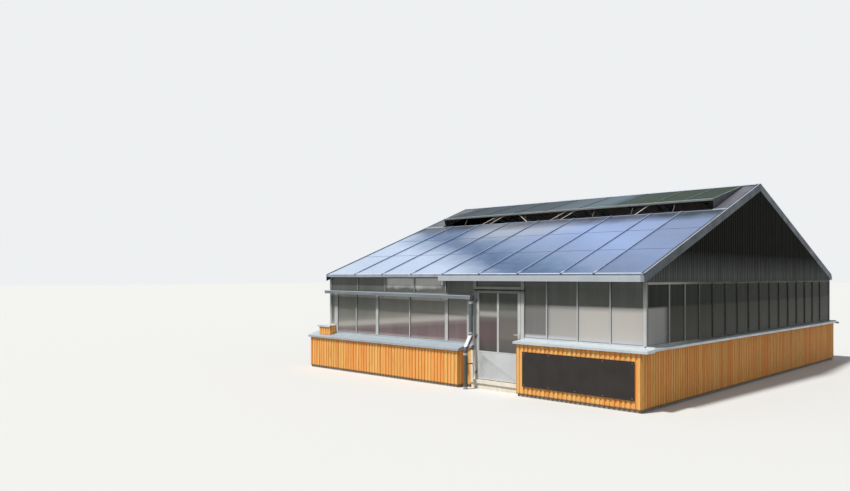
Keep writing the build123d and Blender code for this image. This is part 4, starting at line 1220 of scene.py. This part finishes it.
def lever_handle():
    """Plate, rose and a round lever turned out of the door and along it."""
    low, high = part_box("door_handle")
    x, z = high.x - 0.015, (low.z + high.z) / 2
    plate = soften(block((x - 0.015, leaf_y - 0.006, low.z), (x + 0.015, leaf_y, high.z)), 0.003, 3)
    rose = soften(rod((x, leaf_y - 0.011, z), (x, leaf_y - 0.005, z), 0.0135, 24), 0.002)
    lock_z = z - 0.055
    cylinder = soften(rod((x, leaf_y - 0.012, lock_z), (x, leaf_y - 0.004, lock_z), 0.0085, 20), 0.0015)
    lever = rod((x, leaf_y - 0.032, z), (x, leaf_y - 0.009, z), 0.0085, 20)
    pick_faces(lever, points_out)
    bpy.ops.mesh.spin(steps=6, angle=pi / 2, center=(x - 0.013, leaf_y - 0.032, z), axis=(0, 0, 1))
    for shift, narrowed in (((-0.085, 0, 0), (1, 0.75, 1.05)), ((-0.012, 0.004, 0), (1, 0.8, 0.8))):
        extrude(shift)
        bpy.ops.transform.resize(value=narrowed)
    done()
    return joined([plate, rose, cylinder, close_seams(lever)])


finish_piece(lever_handle(), "door_lever", "handle_metal", body="door_leaf", replaces=["door_handle"])
inset, kick_gaps = 0.03, 6
hinge_heights = (0.373, 1.1315, 1.89)
kick_pitch = (kick_high.x - kick_low.x - 2 * inset) / kick_gaps
leaf_screws = [copy_of(screw, (kick_low.x + inset + kick_pitch * i, leaf_y - 0.003, z))
               for i in range(kick_gaps + 1) for z in (kick_low.z + 0.05, kick_high.z - 0.03)]
leaf_screws += [copy_of(screw, (door_left_x + shift, leaf_y - 0.004, z))
                for z in hinge_heights for shift in (0.008, 0.02)]
finish_piece(joined(leaf_screws), "door_screws", "handle_metal", body="door_leaf")
clear_away(screw)


# Ridge vent: slanting stays from the roof to the flap, each from its foot to its head across the house
stay_places = ((-2.27, -1.82), (-1.98, -1.6), (-0.73, -1.1), (0.0, 0.4), (0.31, 0.67), (2.36, 2.65))


def vent_stays():
    """Slim round stays, two shoes each, on both slopes."""
    made = []
    foot_y, head_y = vent_foot_y - 0.03, flap_low.y + 0.07
    shoe_half, collar_half = Vector((0.02, 0.014, 0.006)), Vector((0.016, 0.012, 0.004))
    collar_drop = Vector((0, 0, 0.004))
    for back in (False, True):
        for foot_x, head_x in stay_places:
            foot = Vector((foot_x, foot_y, ridge_z + foot_y * tan(roof_pitch) + 0.006))
            head = Vector((head_x, head_y, ridge_z + head_y * tan(vent_pitch) - 0.044))
            stay = rod(foot, head, 0.009, 10)
            shoe = soften(block(foot - shoe_half, foot + shoe_half), 0.003)
            collar = soften(block(head - collar_half - collar_drop, head + collar_half), 0.003)
            made += [moved(piece, turned_round(back)) for piece in (stay, shoe, collar)]
    return joined(made)


finish_piece(vent_stays(), "vent_stays", "steelwork", coat="stay_steel")


# Steel frame: base plates with their bolts
post_places = (-2.62, -0.31, 1.868)


def base_plates():
    """Plate under each post, two bolts in it."""
    low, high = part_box("portal_posts")
    thickness, half_length, half_depth = 0.012, 0.09, 0.06
    bolt = soften(rod((0, 0, 0), (0, 0, 0.016), 0.011, 6), 0.002, 1)
    made = []
    for x in post_places:
        for y, inward in ((low.y + 0.04, 0.05), (high.y - 0.04, -0.05)):
            foot = (low_sill if x < door_left_x and y < 0 else high_sill) - 0.003
            middle = y + inward / 2
            made.append(soften(block((x - half_length, middle - half_depth, foot),
                                     (x + half_length, middle + half_depth, foot + thickness)), 0.002, 1))
            made += [copy_of(bolt, (x + shift, y + inward, foot + thickness)) for shift in (-0.068, 0.068)]
    clear_away(bolt)
    return joined(made)


finish_piece(base_plates(), "post_base_plates", "steelwork")


# Stage: floor, light and camera
def seen_directly(tree):
    """1 for rays that show the stage to the camera, straight or through metal and glass, else 0."""
    path = put(tree, "ShaderNodeLightPath").outputs
    shown = number(tree, "MAXIMUM", path["Is Camera Ray"], path["Is Glossy Ray"])
    return number(tree, "MAXIMUM", shown, path["Is Transmission Ray"])


def plain_floor():
    """A wide floor that looks pale and throws little light back."""
    floor = block((-200, -200, -0.2), (200, 300, 0))
    floor.name = "studio_floor"
    material, tree, shader = start_material("pale_floor", Roughness=0.9, Specular_IOR_Level=0.2)
    shade = blend_colour(tree, seen_directly(tree), srgb(150, 146, 140), srgb(214, 214, 212))
    feed(tree, shader, {"Base Color": shade})
    floor.data.materials.append(material)


def studio_light():
    """One soft key lamp from high on the left, and an even pale world."""
    lamp = bpy.data.lights.new("key_light", "SUN")
    lamp.energy = 3.7
    lamp.angle = radians(5)
    lamp.color = (1, 0.98, 0.95)
    key = bpy.data.objects.new("key_light", lamp)
    bpy.context.scene.collection.objects.link(key)
    key.rotation_euler = Vector((-0.16, -0.44, 0.88)).to_track_quat("Z", "Y").to_euler()
    world = bpy.data.worlds.new("studio")
    bpy.context.scene.world = world
    world.use_nodes = True
    tree = world.node_tree
    tree.nodes.clear()
    fill = put(tree, "ShaderNodeBackground", {"Color": srgb(236, 242, 250), "Strength": 0.34})
    backdrop = put(tree, "ShaderNodeBackground", {"Color": srgb(238, 240, 242), "Strength": 1.0})
    mix = put(tree, "ShaderNodeMixShader",
              {0: seen_directly(tree), 1: fill.outputs[0], 2: backdrop.outputs[0]})
    put(tree, "ShaderNodeOutputWorld", {"Surface": mix.outputs[0]})


def photo_camera():
    """The camera at the photograph's place and angle."""
    lens = bpy.data.cameras.new("photo_camera")
    camera = bpy.data.objects.new("photo_camera", lens)
    bpy.context.scene.collection.objects.link(camera)
    camera.location = camera_place
    camera.rotation_euler = (pi / 2, 0, camera_turn)
    lens.sensor_width = 36
    lens.lens = lens.sensor_width * focal_pixels / image_width
    lens.shift_y = (horizon_row - image_height / 2) / image_width
    lens.clip_end = 1000
    bpy.context.scene.camera = camera


plain_floor()
studio_light()
photo_camera()
bpy.context.scene.view_settings.view_transform = "Standard"
